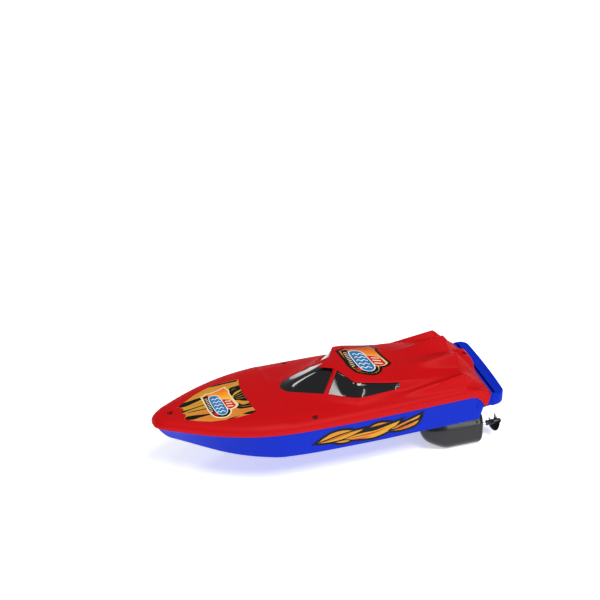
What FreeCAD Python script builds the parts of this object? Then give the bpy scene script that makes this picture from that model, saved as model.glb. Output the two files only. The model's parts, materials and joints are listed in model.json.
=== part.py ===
import FreeCAD, Part
import math
import os

from FreeCAD import Placement, Rotation, Vector

# Radio-controlled toy speedboat. +X points to the bow, +Y to port, +Z up.
# Pieces are drawn from midships on the level of the stern platform, and each one's Placement
# then moves it to the boat's frame: the origin is on the ground below the middle of the boat.

PORT_STARBOARD = (("port", 1), ("starboard", -1))

SIZES = {
    "frame_shift_x": (4.2, "midships to the middle of the whole boat"),
    "platform_height": (56.7, "stern platform above the ground"),
    "seam_slope": (0.0105, "rise of the hull and deck seam per mm forward"),
    "transom_x": (-140.0, "where the deck ends on the platform"),
    "hull_wall": (1.8, "wall of the hull moulding"),
    "deck_wall": (1.8, "wall of the deck moulding"),
    "hull_inset": (0.9, "step in from the deck lip to the hull side"),
    "crease_height": (7.2, "top of the deck's lip band"),
    "glass_recess": (0.5, "windows sit this far below the deck's skin"),
    "decal_film": (0.12, "thickness of a printed decal"),
    "pod_offset": (28.5, "propeller shaft from the centre plane"),
    "shaft_height": (-41.3, "propeller shaft below the platform"),
    "pod_wall": (1.4, "wall of a motor pod"),
    "pod_rear": (-134.6, "where a pod's rear cap starts"),
    "pod_belly": (-56.7, "level flat along the underside of a pod"),
    "cap_thickness": (3.0, "rear cap of a pod"),
    "lead_hole_x": (-100.6, "where the motor leads pass into a pod"),
    "motor_radius": (10.0, "can of a 130-size motor"),
    "motor_flat": (7.5, "half-distance between the motor's flats"),
    "motor_length": (20.0, "can of the motor"),
    "motor_rear": (-131.1, "aft face of the motor can"),
    "shaft_radius": (1.0, "propeller and motor shafts"),
    "running_gap": (0.05, "radial clearance of a shaft in its bush"),
    "bush_radius": (2.2, "outside of the brass bush"),
    "hub_radius": (2.4, "propeller hub"),
    "hub_bore_depth": (7.7, "how far the shaft goes into the hub"),
    "hub_front": (-143.8, "front of the propeller hub"),
    "hub_length": (12.1, "propeller hub"),
    "blade_reach": (8.6, "propeller radius"),
    "blade_chord": (12.6, "propeller blade, its greatest width"),
    "blade_thickness": (0.9, "propeller blade"),
    "blade_pitch": (32.0, "degrees between a blade and the disc"),
    "door_front": (4.0, "front edge of the battery door opening"),
    "door_length": (60.0, "battery door opening"),
    "door_width": (34.0, "battery door opening"),
    "door_thickness": (1.8, "battery door"),
    "door_gap": (0.2, "gap around the battery door"),
    "hinge_pin": (0.45, "radius of the battery door's hinge pins"),
    "pad_height": (-31.5, "flat of the keel below the platform"),
    "bay_width": (29.6, "inside of the battery bay"),
    "bay_length": (54.0, "inside of the battery bay"),
    "bay_height": (16.2, "inside of the battery bay"),
    "gasket_thickness": (1.0, "door gasket"),
    "cell_radius": (7.1, "battery cell"),
    "cell_length": (49.0, "battery cell"),
    "screw_head": (2.1, "radius of a deck screw's head"),
    "screw_shank": (1.0, "radius of a deck screw's shank"),
    "well_radius": (2.4, "screw well in the deck"),
    "post_radius": (3.2, "screw post"),
    "switch_x": (24.0, "centre of the power switch"),
    "board_front": (-62.0, "front edge of the receiver board"),
    "board_length": (38.0, "receiver board"),
    "board_width": (28.0, "receiver board"),
    "board_height": (-18.0, "underside of the receiver board"),
    "board_thickness": (1.2, "receiver board"),
    "wire_radius": (0.6, "insulated lead"),
}

# Lines of the deck, bow to stern: (forward of midships, half-width, height above the platform).
EDGE = ((150, 0.4), (149.3, 5.2), (147.6, 8.2), (144, 11.2), (132, 18.6), (120, 25.6), (108, 32.0),
        (96, 37.3), (84, 41.7), (72, 45.2), (60, 47.6), (48, 49.2), (30, 50.0), (0, 49.9),
        (-45, 48.3), (-105, 45.3), (-130, 43.9), (-134, 43.6), (-137, 42.8), (-139, 41.2), (-140, 39.2))
CROWN = ((150, 5.0), (148, 7.0), (144, 9.0), (138, 10.4), (126, 11.8), (110, 13.0), (90, 14.2),
         (67, 14.9), (44.4, 15.3))
CENTRE = ((44.4, 0, 15.3), (40.2, 0, 15.6), (37.8, 0, 16.6), (7.2, 0, 30.2), (-8.2, 0, 31.3),
          (-27, 0, 30.8), (-48.3, 0, 27.3), (-59.1, 0, 25.4), (-77.4, 0, 24.0), (-117, 0, 21.5),
          (-140, 0, 0.9))
INNER_FIN = ((44.4, 4, 15.2), (40.2, 0.6, 15.6), (37.8, 0.2, 16.55), (7.2, 0.3, 30.15),
             (-8.2, 3.2, 31.2), (-18.6, 10, 30.9), (-27, 12, 30.4), (-59.1, 12.9, 24.9),
             (-77.4, 12.9, 24.0), (-117, 15.3, 30.5), (-140, 12, 0.9))
INNER_VALLEY = ((44.4, 8, 15.1), (40.2, 1.2, 15.6), (37.8, 0.4, 16.5), (7.2, 0.6, 30.1),
                (-8.2, 6.5, 31.1), (-18.6, 20, 30.1), (-27, 21, 29.6), (-59.1, 21, 23.9),
                (-77.4, 18.5, 23.0), (-117, 21.5, 18.2), (-140, 17, 0.9))
ROOF_EDGE = ((44.4, 12, 14.9), (40.2, 2.4, 15.6), (37.8, 0.8, 16.45), (7.2, 0.9, 30.0),
             (-8.2, 9.9, 30.9), (-18.6, 29.1, 28.8), (-27, 30.3, 27.7), (-36.6, 30.6, 25.8),
             (-48.3, 30.9, 23.4), (-59.1, 30.9, 21.9), (-71, 31.2, 21.0), (-84.6, 30.6, 18.9),
             (-117, 26, 17.7), (-140, 22, 0.9))
WINDOW_FOOT = ((44.4, 18, 14.5), (40.2, 5, 15.6), (37.8, 1.6, 16.4), (35.7, 7.2, 16.5),
               (5.1, 22.8, 16.5), (-9.2, 33.3, 16.5), (-21.3, 37.6, 16.1), (-54.6, 33.6, 15.0),
               (-66, 34.2, 14.6), (-84.6, 33.5, 15.8), (-117, 30.5, 17.8), (-140, 26, 0.9))
OUTER_FIN = ((44.4, 24, 14.1), (40.2, 9, 15.2), (37.8, 12, 15.0), (32, 17, 14.9), (15.6, 25.5, 14.6),
             (-8.2, 35.5, 13.4), (-21.3, 39.6, 12.8), (-58.7, 39, 12.6), (-117, 38.1, 23.0),
             (-140, 31, 0.9))
FIN_FOOT = ((44.4, 36, 12.6), (-8.2, 42.5, 11.2), (-58.7, 41.6, 11.4), (-117, 39.7, 10.8),
            (-140, 36, 0.8))
SHOULDER = ((44.4, 46.2, 9.9), (-8.2, 46.9, 9.8), (-58.7, 45.6, 9.4), (-117, 43.2, 8.8),
            (-132, 41.6, 5.6), (-140, 38, 0.7))
LINES = (CENTRE, INNER_FIN, INNER_VALLEY, ROOF_EDGE, WINDOW_FOOT, OUTER_FIN, FIN_FOOT, SHOULDER)
CROWN_STEPS = (0, 0.12, 0.24, 0.36, 0.48, 0.6, 0.76, 0.92)
CROWN_POWER = 2.5
CABIN_START = 44.4
DECK_STATIONS = (149.9, 149.3, 147.6, 144, 138, 132, 126, 120, 110, 100, 90, 78, 67, 55, 44.4, 40.2,
                 37.8, 35.7, 32, 15.6, 7.2, 5.1, -8.2, -18.6, -21.3, -27, -36.6, -48.3, -58.7,
                 -66, -77.4, -84.6, -117, -126, -132, -136, -140)
CAVITY_STATIONS = (143, 132, 120, 110, 90, 67, 44.4, 37.8, 32, 7.2, -8.2, -18.6, -27, -48.3, -58.7,
                   -66, -77.4, -117, -133)

# Lines of the hull: (forward of midships, half-width, height above the platform).
CHINE = ((147.4, 0.5, 0.6), (146, 0.6, -1.4), (143, 0.7, -6.0), (140, 0.8, -9.6), (136.5, 1.0, -12.6),
         (115.8, 15, -16.2), (90, 30, -20.6), (66, 39, -23.6), (46.5, 43.2, -25.2), (15, 43.8, -26.3),
         (-30, 43.5, -26.5), (-72, 42, -26.7), (-135, 40.5, -26.7))
PAD = ((147.4, 0.2, 0.3), (146, 0.2, -1.7), (143, 0.3, -6.4), (140, 0.3, -10.1), (136.5, 0.4, -13.4),
       (130, 0.8, -17.0), (120, 2.0, -21.5), (108, 4.0, -25.0), (96, 6.5, -27.5), (80, 10, -29.5),
       (60, 14.5, -30.8), (40, 17, -31.4), (10, 18.5, -31.5), (-135, 18.5, -31.5))
HULL_STATIONS = (147.4, 146, 143, 140, 136.5, 130, 120, 108, 96, 80, 66, 46.5, 15, -30, -72, -135)
HULL_CAVITY_STATIONS = (140, 130, 120, 108, 96, 80, 66, 46.5, 15, -30, -72, -129.5)

# Motor pod along its length: (forward of midships, half-width, belly height).
POD_SECTIONS = ((-80.6, 2.4, -36.6), (-82.4, 4.8, -41.8), (-86, 6.8, -46.6), (-92, 8.2, -51.0),
                (-98, 8.9, -54.4), (-103, 9.2, -56.6), (-106, 9.2, -57.2), (-134.6, 9.2, -57.2))
POD_CAP_SECTIONS = ((-134.6, 9.2, -57.2), (-136.0, 9.1, -56.6), (-137.6, 8.2, -54.4))
POD_TOP = -24.0
POD_ROOF = -29.0
POD_SCREWS_X = (-89.1, -123.6)

# Corner of the deck that wraps down past the platform, seen from the side: (x, z).
CORNER_SKIRT = ((-121, 1.6), (-126.5, -1.0), (-130.8, -5.2), (-135.0, -12.2), (-136.3, -12.2),
                (-138.2, -6.0), (-139.4, 1.6))

# Window outlines seen from the side: (x, z).
WINDSCREEN = ((38.6, 16.6), (36.2, 17.9), (8.0, 29.4), (-7.0, 30.4), (-6.6, 29.4), (4.7, 17.0),
              (36.6, 16.7))
SIDE_WINDOW = ((-10.2, 30.1), (-18.9, 27.9), (-27, 26.9), (-36.6, 25.0), (-48.3, 22.6), (-59.4, 21.0),
               (-59.8, 19.2), (-55.6, 16.0), (-38, 16.3), (-21.3, 16.9), (-9.2, 17.0), (1.9, 17.0))

# Decal outlines: plan view for the deck (x, y), side view for the hull (x, z).
BOW_DECAL = ((126.9, -4.1), (119.9, -8.5), (109.8, -15.8), (100.2, -20.8), (92, -24), (81.3, -25.6),
             (67.3, -26.4), (69.7, -8.4), (68.9, 9.4), (66.6, 25), (81.8, 27.2), (93.4, 26.8),
             (105.3, 24.4), (116.5, 19.3), (125.6, 13.4), (126.2, 4.3))
ROOF_DECAL = ((-19.5, -16), (-27, -22), (-46, -21), (-54, -10), (-58.5, 8), (-51, 13), (-48, 20.5),
              (-38.5, 22.6), (-26, 17.5), (-20.5, 8))
SIDE_DECAL = ((21, -14.8), (8, -8.6), (-14, -4.4), (-34, -6.8), (-52, -4.6), (-73.5, -3.2),
              (-74.5, -9.6), (-68, -15.6), (-48, -19.6), (-26, -21.6), (-10, -20.4), (10, -19.8))

parts = []


def make_sheet():
    for row, (alias, (value, meaning)) in enumerate(SIZES.items(), start=1):
        sheet.set(f"A{row}", meaning)
        sheet.set(f"B{row}", str(value))
        sheet.setAlias(f"B{row}", alias)
    doc.recompute()


def size(alias):
    return float(sheet.get(alias))


def publish(item, label):
    """Give a finished piece its name and move it into the boat's frame."""
    item.Label = label
    item.setExpression("Placement.Base.x", "Sizes.frame_shift_x")
    item.setExpression("Placement.Base.z", "Sizes.platform_height")
    parts.append(item)
    return item


def solid_feature(label, shape):
    item = doc.addObject("Part::Feature", label)
    item.Shape = shape
    return publish(item, label)


def primitive(kind, name, sizes, base=(0, 0, 0), axis=(0, 0, 1)):
    """A Part primitive: sizes and base entries are numbers or spreadsheet expressions."""
    item = doc.addObject(kind, name)
    item.Placement = Placement(Vector(0, 0, 0), Rotation(Vector(0, 0, 1), Vector(*axis)))
    for name_of_size, value in sizes.items():
        item.setExpression(name_of_size, str(value))
    for letter, value in zip("xyz", base):
        item.setExpression(f"Placement.Base.{letter}", str(value))
    return item


def boolean(kind, name, first, second):
    item = doc.addObject(kind, name)
    item.Base = first
    item.Tool = second
    return item


def fused(name, items):
    item = doc.addObject("Part::MultiFuse", name)
    item.Shapes = items
    return item


# ---------------------------------------------------------------- lines and lofts


def along(line, x):
    """Values of a line at x, straight between its points."""
    for ahead, behind in zip(line, line[1:]):
        if x >= behind[0]:
            share = (ahead[0] - x) / (ahead[0] - behind[0])
            share = min(max(share, 0.0), 1.0)
            return [a + (b - a) * share for a, b in zip(ahead[1:], behind[1:])]
    return list(line[-1][1:])


def seam_height(x):
    return (x - size("transom_x")) * size("seam_slope")


def crown_point(x, share):
    """A point of the foredeck's rounded crown, at a share of the half-beam."""
    beam = along(EDGE, x)[0]
    top = along(CROWN, x)[0]
    edge = crease_height(x)
    return share * beam, edge + (top - edge) * math.sqrt(1 - share ** CROWN_POWER)


def crease_height(x):
    drop_at_tip = max(0.0, (x - 140) / 10) * 2.6
    drop_at_stern = max(0.0, (-131 - x) / 9) * 6.6
    return size("crease_height") - drop_at_tip - drop_at_stern


def deck_half(x):
    """Half a cross-section of the deck's skin, centre to lip: (y, z)."""
    if x >= CABIN_START:
        points = [crown_point(x, share) for share in CROWN_STEPS]
    else:
        points = [tuple(along(line, x)) for line in LINES]
    beam = along(EDGE, x)[0]
    points.append((beam, crease_height(x)))
    return points


def closed_section(x, half, floor):
    """A closed polygon across the boat from half of it, mirrored, and a flat floor."""
    ring = [(half[-1][0], floor)] + list(reversed(half))
    ring += [(-y, z) for y, z in half[1:]] + [(-half[-1][0], floor)]
    corners = [Vector(x, y, z) for y, z in ring]
    return Part.makePolygon(corners + corners[:1])


def deck_body(lower=0.0, narrower=0.0, stations=DECK_STATIONS, floor_drop=0.0):
    """The deck's outside as a solid, or an inset copy of it."""
    sections = []
    for x in stations:
        beam = along(EDGE, x)[0]
        scale = max(beam - narrower, 0.1) / beam
        floor = seam_height(x) - floor_drop
        half = [(y * scale, max(z - lower, floor + 0.3)) for y, z in deck_half(x)]
        sections.append(closed_section(x, half, floor))
    return Part.makeLoft(sections, True, True)


def hull_half(x, inset):
    """Half a cross-section of the hull, keel to rim: (y, z)."""
    pad_y, pad_z = along(PAD, x)
    chine_y, chine_z = along(CHINE, x)
    rim_y = max(along(EDGE, x)[0] - size("hull_inset"), 0.9)
    points = [(max(pad_y - inset * 0.3, 0.1), pad_z + inset)]
    points.append((max(chine_y - inset, 0.15), chine_z + inset * 0.75))
    points.append((max(rim_y - inset, 0.3), seam_height(x)))
    return points


def hull_body(inset=0.0, stations=HULL_STATIONS, above=0.0):
    sections = []
    for x in stations:
        half = hull_half(x, inset)
        half[-1] = (half[-1][0], half[-1][1] + above)
        ring = half + [(-y, z) for y, z in reversed(half)]
        corners = [Vector(x, y, z) for y, z in ring]
        sections.append(Part.makePolygon(corners + corners[:1]))
    return Part.makeLoft(sections, True, True)


def prism(outline, axis, low, high):
    """An outline in the plan (axis z) or side view (axis y), extruded from low to high."""
    if axis == "z":
        corners = [Vector(a, b, low) for a, b in outline]
        direction = Vector(0, 0, high - low)
    else:
        corners = [Vector(a, low, b) for a, b in outline]
        direction = Vector(0, high - low, 0)
    face = Part.Face(Part.makePolygon(corners + corners[:1]))
    return face.extrude(direction)


def mirrored(shape):
    return shape.mirror(Vector(0, 0, 0), Vector(0, 1, 0))


def box(x, y, z):
    """A box from three (low, high) pairs."""
    return Part.makeBox(x[1] - x[0], y[1] - y[0], z[1] - z[0], Vector(x[0], y[0], z[0]))


def rod(radius, start, end):
    start, end = Vector(*start), Vector(*end)
    return Part.makeCylinder(radius, (end - start).Length, start, end - start)


def lead(points, radius):
    """An insulated lead: straight runs joined by arcs as large as the runs allow."""
    points = [Vector(*p) for p in points]
    edges = []
    start = points[0]
    for before, corner, after in zip(points, points[1:], points[2:]):
        come, leave = (corner - before), (after - corner)
        turn = come.getAngle(leave)
        reach = 0.45 * min(come.Length, leave.Length)
        come.normalize()
        leave.normalize()
        arc_start, arc_end = corner - come * reach, corner + leave * reach
        toward = (leave - come).normalize()
        arc_radius = reach / math.tan(turn / 2)
        middle = corner + toward * (arc_radius / math.cos(turn / 2) - arc_radius)
        edges.append(Part.LineSegment(start, arc_start).toShape())
        edges.append(Part.Arc(arc_start, middle, arc_end).toShape())
        start = arc_end
    edges.append(Part.LineSegment(start, points[-1]).toShape())
    path = Part.Wire(edges)
    first_way = points[1] - points[0]
    ring = Part.Wire(Part.makeCircle(radius, points[0], first_way))
    return path.makePipeShell([ring], True, False)


# ---------------------------------------------------------------- hull


def screw_places():
    """Deck screws: (x, y, top of the screw's well floor)."""
    return ((134.4, 0, 7.6), (20.9, 43.2, 8.6), (20.9, -43.2, 8.6), (-131.5, 0, 13.6))


def platform():
    """The swim platform behind the deck, with rounded corners and a groove near its edge."""
    tucked, half = 42.6, 44.2
    corner = 7.5
    front, flare_start, flare_end = -125.0, -139.4, -142.0
    side_end, middle = -153.0, -154.0
    bend = corner * (1 - math.sqrt(0.5))

    def side(way):
        """One side of the plan, front to stern: tucked under the deck's corner, then flared."""
        def at(x, y):
            return Vector(x, way * y, 0)
        return [
            Part.LineSegment(at(front, tucked), at(flare_start, tucked)),
            Part.LineSegment(at(flare_start, tucked), at(flare_end, half)),
            Part.LineSegment(at(flare_end, half), at(side_end + corner, half)),
            Part.Arc(at(side_end + corner, half), at(side_end + bend, half - bend),
                     at(side_end, half - corner)),
        ]

    stern = Part.Arc(Vector(side_end, half - corner, 0), Vector(middle, 0, 0),
                     Vector(side_end, corner - half, 0))
    fore = Part.LineSegment(Vector(front, -tucked, 0), Vector(front, tucked, 0))
    outline = [fore] + side(1) + [stern] + side(-1)[::-1]
    wire = Part.Wire([edge.toShape() for edge in outline])
    depth = 13.6
    slab = Part.Face(wire).extrude(Vector(0, 0, -depth))
    underside = prism(((-160, -10.0), (-149, -10.9), (-134, -13.5), (-134, -20), (-160, -20)),
                      "y", -60, 60)
    slab = slab.cut(underside)
    rim = wire.makeOffset2D(-2.6)
    floor = wire.makeOffset2D(-3.9)
    groove = Part.Face(rim).cut(Part.Face(floor)).extrude(Vector(0, 0, -1.0))
    keep_aft = box((-160, -142), (-60, 60), (-5, 5))
    return slab.cut(groove.common(keep_aft))


def make_hull(outer):
    wall = size("hull_wall")
    raked_aft = prism(((-135, 5), (-135, -12), (-131.5, -27), (-131.5, -40), (-150, -40), (-150, 5)),
                      "y", -60, 60)
    body = outer.cut(raked_aft).fuse(platform())
    body = body.cut(hull_body(wall, HULL_CAVITY_STATIONS, above=6))
    body = body.cut(box((-150, -128), (-39, 39), (-6.6, -2.2)))
    for side in (1, -1):
        low, high = sorted((41.0 * side, 60.0 * side))
        body = body.cut(prism(CORNER_SKIRT, "y", low, high))

    inside = hull_body(wall - 0.4, HULL_CAVITY_STATIONS, above=0)
    extras = []
    for x, y, _ in screw_places()[:3]:
        post = rod(size("post_radius"), (x, y, -30), (x, y, seam_height(x) - 0.1))
        extras.append(post.common(inside))
    bay = battery_bay_walls()
    extras.append(bay)
    for x in (-66, -96):
        for y in (-10.5, 10.5):
            extras.append(rod(2.0, (x, y, size("pad_height") + 1), (x, y, size("board_height"))))
    body = body.multiFuse(extras)

    cuts = [battery_openings()]
    for x, y, _ in screw_places():
        cuts.append(rod(size("screw_shank") + 0.03, (x, y, -6), (x, y, 20)))
    switch = size("switch_x")
    cuts.append(box((switch - 4.6, switch + 4.6), (-2.2, 2.2), (-33, -28)))
    for y in (-7, 7):
        cuts.append(rod(1.25, (62, y, -34), (62, y, -24)))
    for _, side in PORT_STARBOARD:
        y = side * size("pod_offset")
        lead_hole = size("lead_hole_x")
        cuts.append(rod(2.6, (lead_hole, y, -36), (lead_hole, y, -20)))
        for x in POD_SCREWS_X:
            cuts.append(rod(1.0, (x, y, -36), (x, y, -20)))
    body = body.cut(Part.makeCompound(cuts))
    return solid_feature("hull", body.removeSplitter())


def door_middle():
    return size("door_front") - size("door_length") / 2


def battery_bay_walls():
    wall = 1.6
    half_length = size("bay_length") / 2 + wall
    half_width = size("door_width") / 2 + wall
    top = size("pad_height") + size("door_thickness") + size("gasket_thickness")
    top += size("bay_height") + wall
    middle = door_middle()
    block = box((middle - half_length - 3, middle + half_length + 3), (-half_width, half_width),
                (size("pad_height") + 0.5, top))
    return block


def battery_openings():
    """The door's opening, the gasket's ledge and the bay above it."""
    middle = door_middle()
    floor = size("pad_height")
    ledge = floor + size("door_thickness") + size("gasket_thickness")
    half = size("door_length") / 2
    wide = size("door_width") / 2
    opening = box((middle - half, middle + half), (-wide, wide), (floor - 1, ledge))
    half = size("bay_length") / 2
    wide = size("bay_width") / 2
    bay = box((middle - half, middle + half), (-wide, wide), (ledge - 1, ledge + size("bay_height")))
    screw_hole = rod(1.9, (middle - 28.4, 0, floor), (middle - 28.4, 0, floor + 7.4))
    lead_holes = [rod(size("wire_radius") + 0.05, (middle - 40, y, -15.6), (middle - 20, y, -15.6))
                  for y in (5.0, 7.4)]
    x, z = hinge_line()
    reach = size("door_width") / 2 + 0.75
    pin_hole = rod(size("hinge_pin") + 0.1, (x, -reach, z), (x, reach, z))
    return opening.multiFuse([bay, screw_hole, pin_hole] + lead_holes)


# ---------------------------------------------------------------- deck and windows


def stern_tower():
    """The raised screw tower in the middle of the deck's sloping rear face."""
    outline = ((-121, 17.0), (-129, 18.4), (-134.6, 16.6), (-137.2, 13.0), (-138.8, 5.0),
               (-139.8, 0.6), (-121, 0.6))
    return prism(outline, "y", -9.0, 9.0)


def corner_skirts():
    skirts = []
    for side in (1, -1):
        low, high = sorted((41.1 * side, 43.4 * side))
        skirts.append(prism(CORNER_SKIRT, "y", low, high))
    return skirts


def window_prisms():
    front = prism(WINDSCREEN, "y", -30, 30)
    port = prism(SIDE_WINDOW, "y", 3, 60)
    return front, port, mirrored(port)


def make_deck():
    wall = size("deck_wall")
    outer = deck_body().fuse(stern_tower())
    cavity = deck_body(wall, 2.4, CAVITY_STATIONS, floor_drop=3.0)
    tower_inside = box((-135, -122), (-7, 7), (-2, 10))
    shell = outer.cut(cavity).cut(tower_inside)
    shell = shell.multiFuse(corner_skirts())
    posts = []
    for x, y, floor in screw_places():
        top = floor + 2.0
        posts.append(rod(size("post_radius"), (x, y, seam_height(x)), (x, y, top)).common(outer))
    shell = shell.multiFuse(posts)
    cuts = list(window_prisms())
    for x, y, floor in screw_places():
        cuts.append(rod(size("well_radius"), (x, y, floor), (x, y, 30)))
        cuts.append(rod(size("screw_shank") + 0.1, (x, y, -3), (x, y, 30)))
    shell = shell.cut(Part.makeCompound(cuts))
    solid_feature("deck", shell)
    return outer, cavity


def make_windows(cavity):
    """Smoked panes that fill the three openings, a little below the deck's skin."""
    recess = size("glass_recess")
    pane_skin = deck_body(recess, recess, DECK_STATIONS).cut(cavity)
    front, port, starboard = window_prisms()
    for label, opening in (("windscreen", front), ("side_window_port", port),
                           ("side_window_starboard", starboard)):
        pane = pane_skin.common(opening)
        solids = sorted(pane.Solids, key=lambda solid: -solid.Volume)
        solid_feature(label, solids[0])


def make_deck_screws():
    screws = []
    for x, y, floor in screw_places():
        head = rod(size("screw_head"), (x, y, floor), (x, y, floor + 1.5))
        shank = rod(size("screw_shank"), (x, y, floor - 12), (x, y, floor + 0.2))
        slot_long = box((x - 1.3, x + 1.3), (y - 0.25, y + 0.25), (floor + 0.9, floor + 3))
        slot_wide = box((x - 0.25, x + 0.25), (y - 1.3, y + 1.3), (floor + 0.9, floor + 3))
        screws.append(head.fuse(shank).cut(slot_long).cut(slot_wide))
    solid_feature("deck_screws", Part.makeCompound(screws))


def make_decals(deck_outer, hull_outer):
    film = size("decal_film")
    wells = Part.makeCompound([rod(size("well_radius") + 0.2, (x, y, -5), (x, y, 60))
                               for x, y, _ in screw_places()])
    lifted = deck_body(-film, 0.0)
    skin = lifted.cut(deck_outer).cut(wells)
    for label, outline in (("bow_decal", BOW_DECAL), ("roof_decal", ROOF_DECAL)):
        patch = skin.common(prism(outline, "z", 5, 60))
        solid_feature(label, sorted(patch.Solids, key=lambda solid: -solid.Volume)[0])
    wider = hull_body(-film)
    side_skin = wider.cut(hull_outer)
    for label, side in PORT_STARBOARD:
        low, high = sorted((20 * side, 60 * side))
        patch = side_skin.common(prism(SIDE_DECAL, "y", low, high))
        solid_feature(f"side_decal_{label}", sorted(patch.Solids, key=lambda s: -s.Volume)[0])


# ---------------------------------------------------------------- drive pods


def pod_section(x, half_width, belly, top):
    """A pod's section: a round belly, and sides that lean in towards the hull."""
    bend = belly + half_width
    lean = min(2.6, half_width * 0.28)
    side = [(half_width, bend), (half_width - lean * 0.06, max(-35.0, bend + 0.3)),
            (half_width - lean * 0.6, max(-30.5, bend + 0.6)), (half_width - lean, -27.5),
            (half_width - lean, top)]
    port = [Vector(x, y, z) for y, z in side]
    starboard = [Vector(x, -y, z) for y, z in reversed(side)]
    edges = [Part.Arc(starboard[-1], Vector(x, 0, belly), port[0])]
    run = port + starboard
    edges += [Part.LineSegment(start, end) for start, end in zip(run, run[1:])]
    return Part.Wire([edge.toShape() for edge in edges])


def pod_body(inset=0.0, sections=POD_SECTIONS):
    wires = [pod_section(x, width - inset, belly + inset, POD_TOP) for x, width, belly in sections]
    return Part.makeLoft(wires, True, True)


def make_pod(name, side, hull_outer):
    offset = Vector(0, side * size("pod_offset"), 0)
    shaft_z = size("shaft_height")
    wall = size("pod_wall")
    above_roof = box((-150, -131), (-20, 20), (POD_ROOF, -20))
    outer = pod_body().cut(above_roof)
    inner = pod_body(wall, POD_SECTIONS[2:])
    inner = inner.cut(box((-150, -129), (-20, 20), (POD_ROOF - wall, -20)))
    below_belly = box((-150, -78), (-20, 20), (-70, size("pod_belly")))
    housing = outer.cut(inner).cut(below_belly)
    bulkhead = box((-105.8, -104.4), (-8, 8), (-56, POD_TOP)).common(inner)
    bulkhead = bulkhead.cut(rod(4.5, (-110, 0, shaft_z), (-100, 0, shaft_z)))
    cradle = box((-130.6, -112.6), (-8, 8), (-56, shaft_z - size("motor_radius"))).common(inner)
    housing = housing.multiFuse([bulkhead, cradle])
    motor_room = rod(size("motor_radius"), (-136, 0, shaft_z), (-108, 0, shaft_z))
    for x in POD_SCREWS_X:
        housing = housing.fuse(rod(2.2, (x, 0, -36), (x, 0, POD_TOP)).cut(motor_room))
        housing = housing.cut(rod(0.85, (x, 0, -37), (x, 0, -20)))
    housing.translate(offset)
    housing = housing.cut(hull_outer)
    solids = sorted(housing.Solids, key=lambda solid: -solid.Volume)
    solid_feature(f"pod_housing_{name}", solids[0])

    cap = pod_body(0.0, POD_CAP_SECTIONS).cut(below_belly)
    cap = cap.cut(rod(size("bush_radius"), (-145, 0, shaft_z), (-130, 0, shaft_z)))
    cap = cap.cut(box((-150, -130), (-20, 20), (POD_ROOF - 0.2, -20)))
    cap.translate(offset)
    solid_feature(f"pod_cap_{name}", cap)


def motor_can(name, side):
    """A flat-sided can, from the spreadsheet's motor sizes."""
    y = f"{side} * Sizes.pod_offset"
    round_can = primitive("Part::Cylinder", f"can_round_{name}",
                          {"Radius": "Sizes.motor_radius", "Height": "Sizes.motor_length"},
                          ("Sizes.motor_rear", y, "Sizes.shaft_height"), (1, 0, 0))
    block = primitive("Part::Box", f"can_flats_{name}",
                      {"Length": "Sizes.motor_length", "Width": "2 * Sizes.motor_flat",
                       "Height": "2 * Sizes.motor_radius"},
                      ("Sizes.motor_rear", f"{y} - Sizes.motor_flat",
                       "Sizes.shaft_height - Sizes.motor_radius"))
    can = boolean("Part::Common", f"can_{name}", round_can, block)
    bore = primitive("Part::Cylinder", f"can_bore_{name}",
                     {"Radius": "Sizes.shaft_radius + Sizes.running_gap",
                      "Height": "Sizes.motor_length + 4"},
                     ("Sizes.motor_rear - 2", y, "Sizes.shaft_height"), (1, 0, 0))
    publish(boolean("Part::Cut", f"motor_can_{name}", can, bore), f"motor_can_{name}")


def motor_end(name, side):
    """The moulded end plate at the motor's front, with its two terminals."""
    y = f"{side} * Sizes.pod_offset"
    front = "Sizes.motor_rear + Sizes.motor_length"
    plate = primitive("Part::Cylinder", f"end_plate_{name}",
                      {"Radius": "Sizes.motor_radius - 1", "Height": "3"},
                      (front, y, "Sizes.shaft_height"), (1, 0, 0))
    sides = primitive("Part::Box", f"end_flats_{name}",
                      {"Length": "3", "Width": "2 * Sizes.motor_flat - 0.6",
                       "Height": "2 * Sizes.motor_radius"},
                      (front, f"{y} - Sizes.motor_flat + 0.3",
                       "Sizes.shaft_height - Sizes.motor_radius"))
    flat_plate = boolean("Part::Common", f"end_shape_{name}", plate, sides)
    tabs = [primitive("Part::Box", f"terminal_{name}_{number}",
                      {"Length": "4.5", "Width": "0.5", "Height": "2"},
                      (f"{front} + 1.5", f"{y} + {across}", "Sizes.shaft_height - 1"))
            for number, across in enumerate((-3.9, 3.4))]
    solid = fused(f"end_solid_{name}", [flat_plate] + tabs)
    bore = primitive("Part::Cylinder", f"end_bore_{name}",
                     {"Radius": "Sizes.shaft_radius + Sizes.running_gap", "Height": "6"},
                     (f"{front} - 1", y, "Sizes.shaft_height"), (1, 0, 0))
    publish(boolean("Part::Cut", f"motor_end_{name}", solid, bore), f"motor_end_{name}")


def make_bush(name, side):
    y = f"{side} * Sizes.pod_offset"
    start = "Sizes.pod_rear - Sizes.cap_thickness - 0.6"
    outside = primitive("Part::Cylinder", f"bush_outside_{name}",
                        {"Radius": "Sizes.bush_radius", "Height": "Sizes.cap_thickness + 0.6"},
                        (start, y, "Sizes.shaft_height"), (1, 0, 0))
    bore = primitive("Part::Cylinder", f"bush_bore_{name}",
                     {"Radius": "Sizes.shaft_radius + Sizes.running_gap",
                      "Height": "Sizes.cap_thickness + 3"},
                     (f"{start} - 1", y, "Sizes.shaft_height"), (1, 0, 0))
    publish(boolean("Part::Cut", f"shaft_bush_{name}", outside, bore), f"shaft_bush_{name}")


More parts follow.
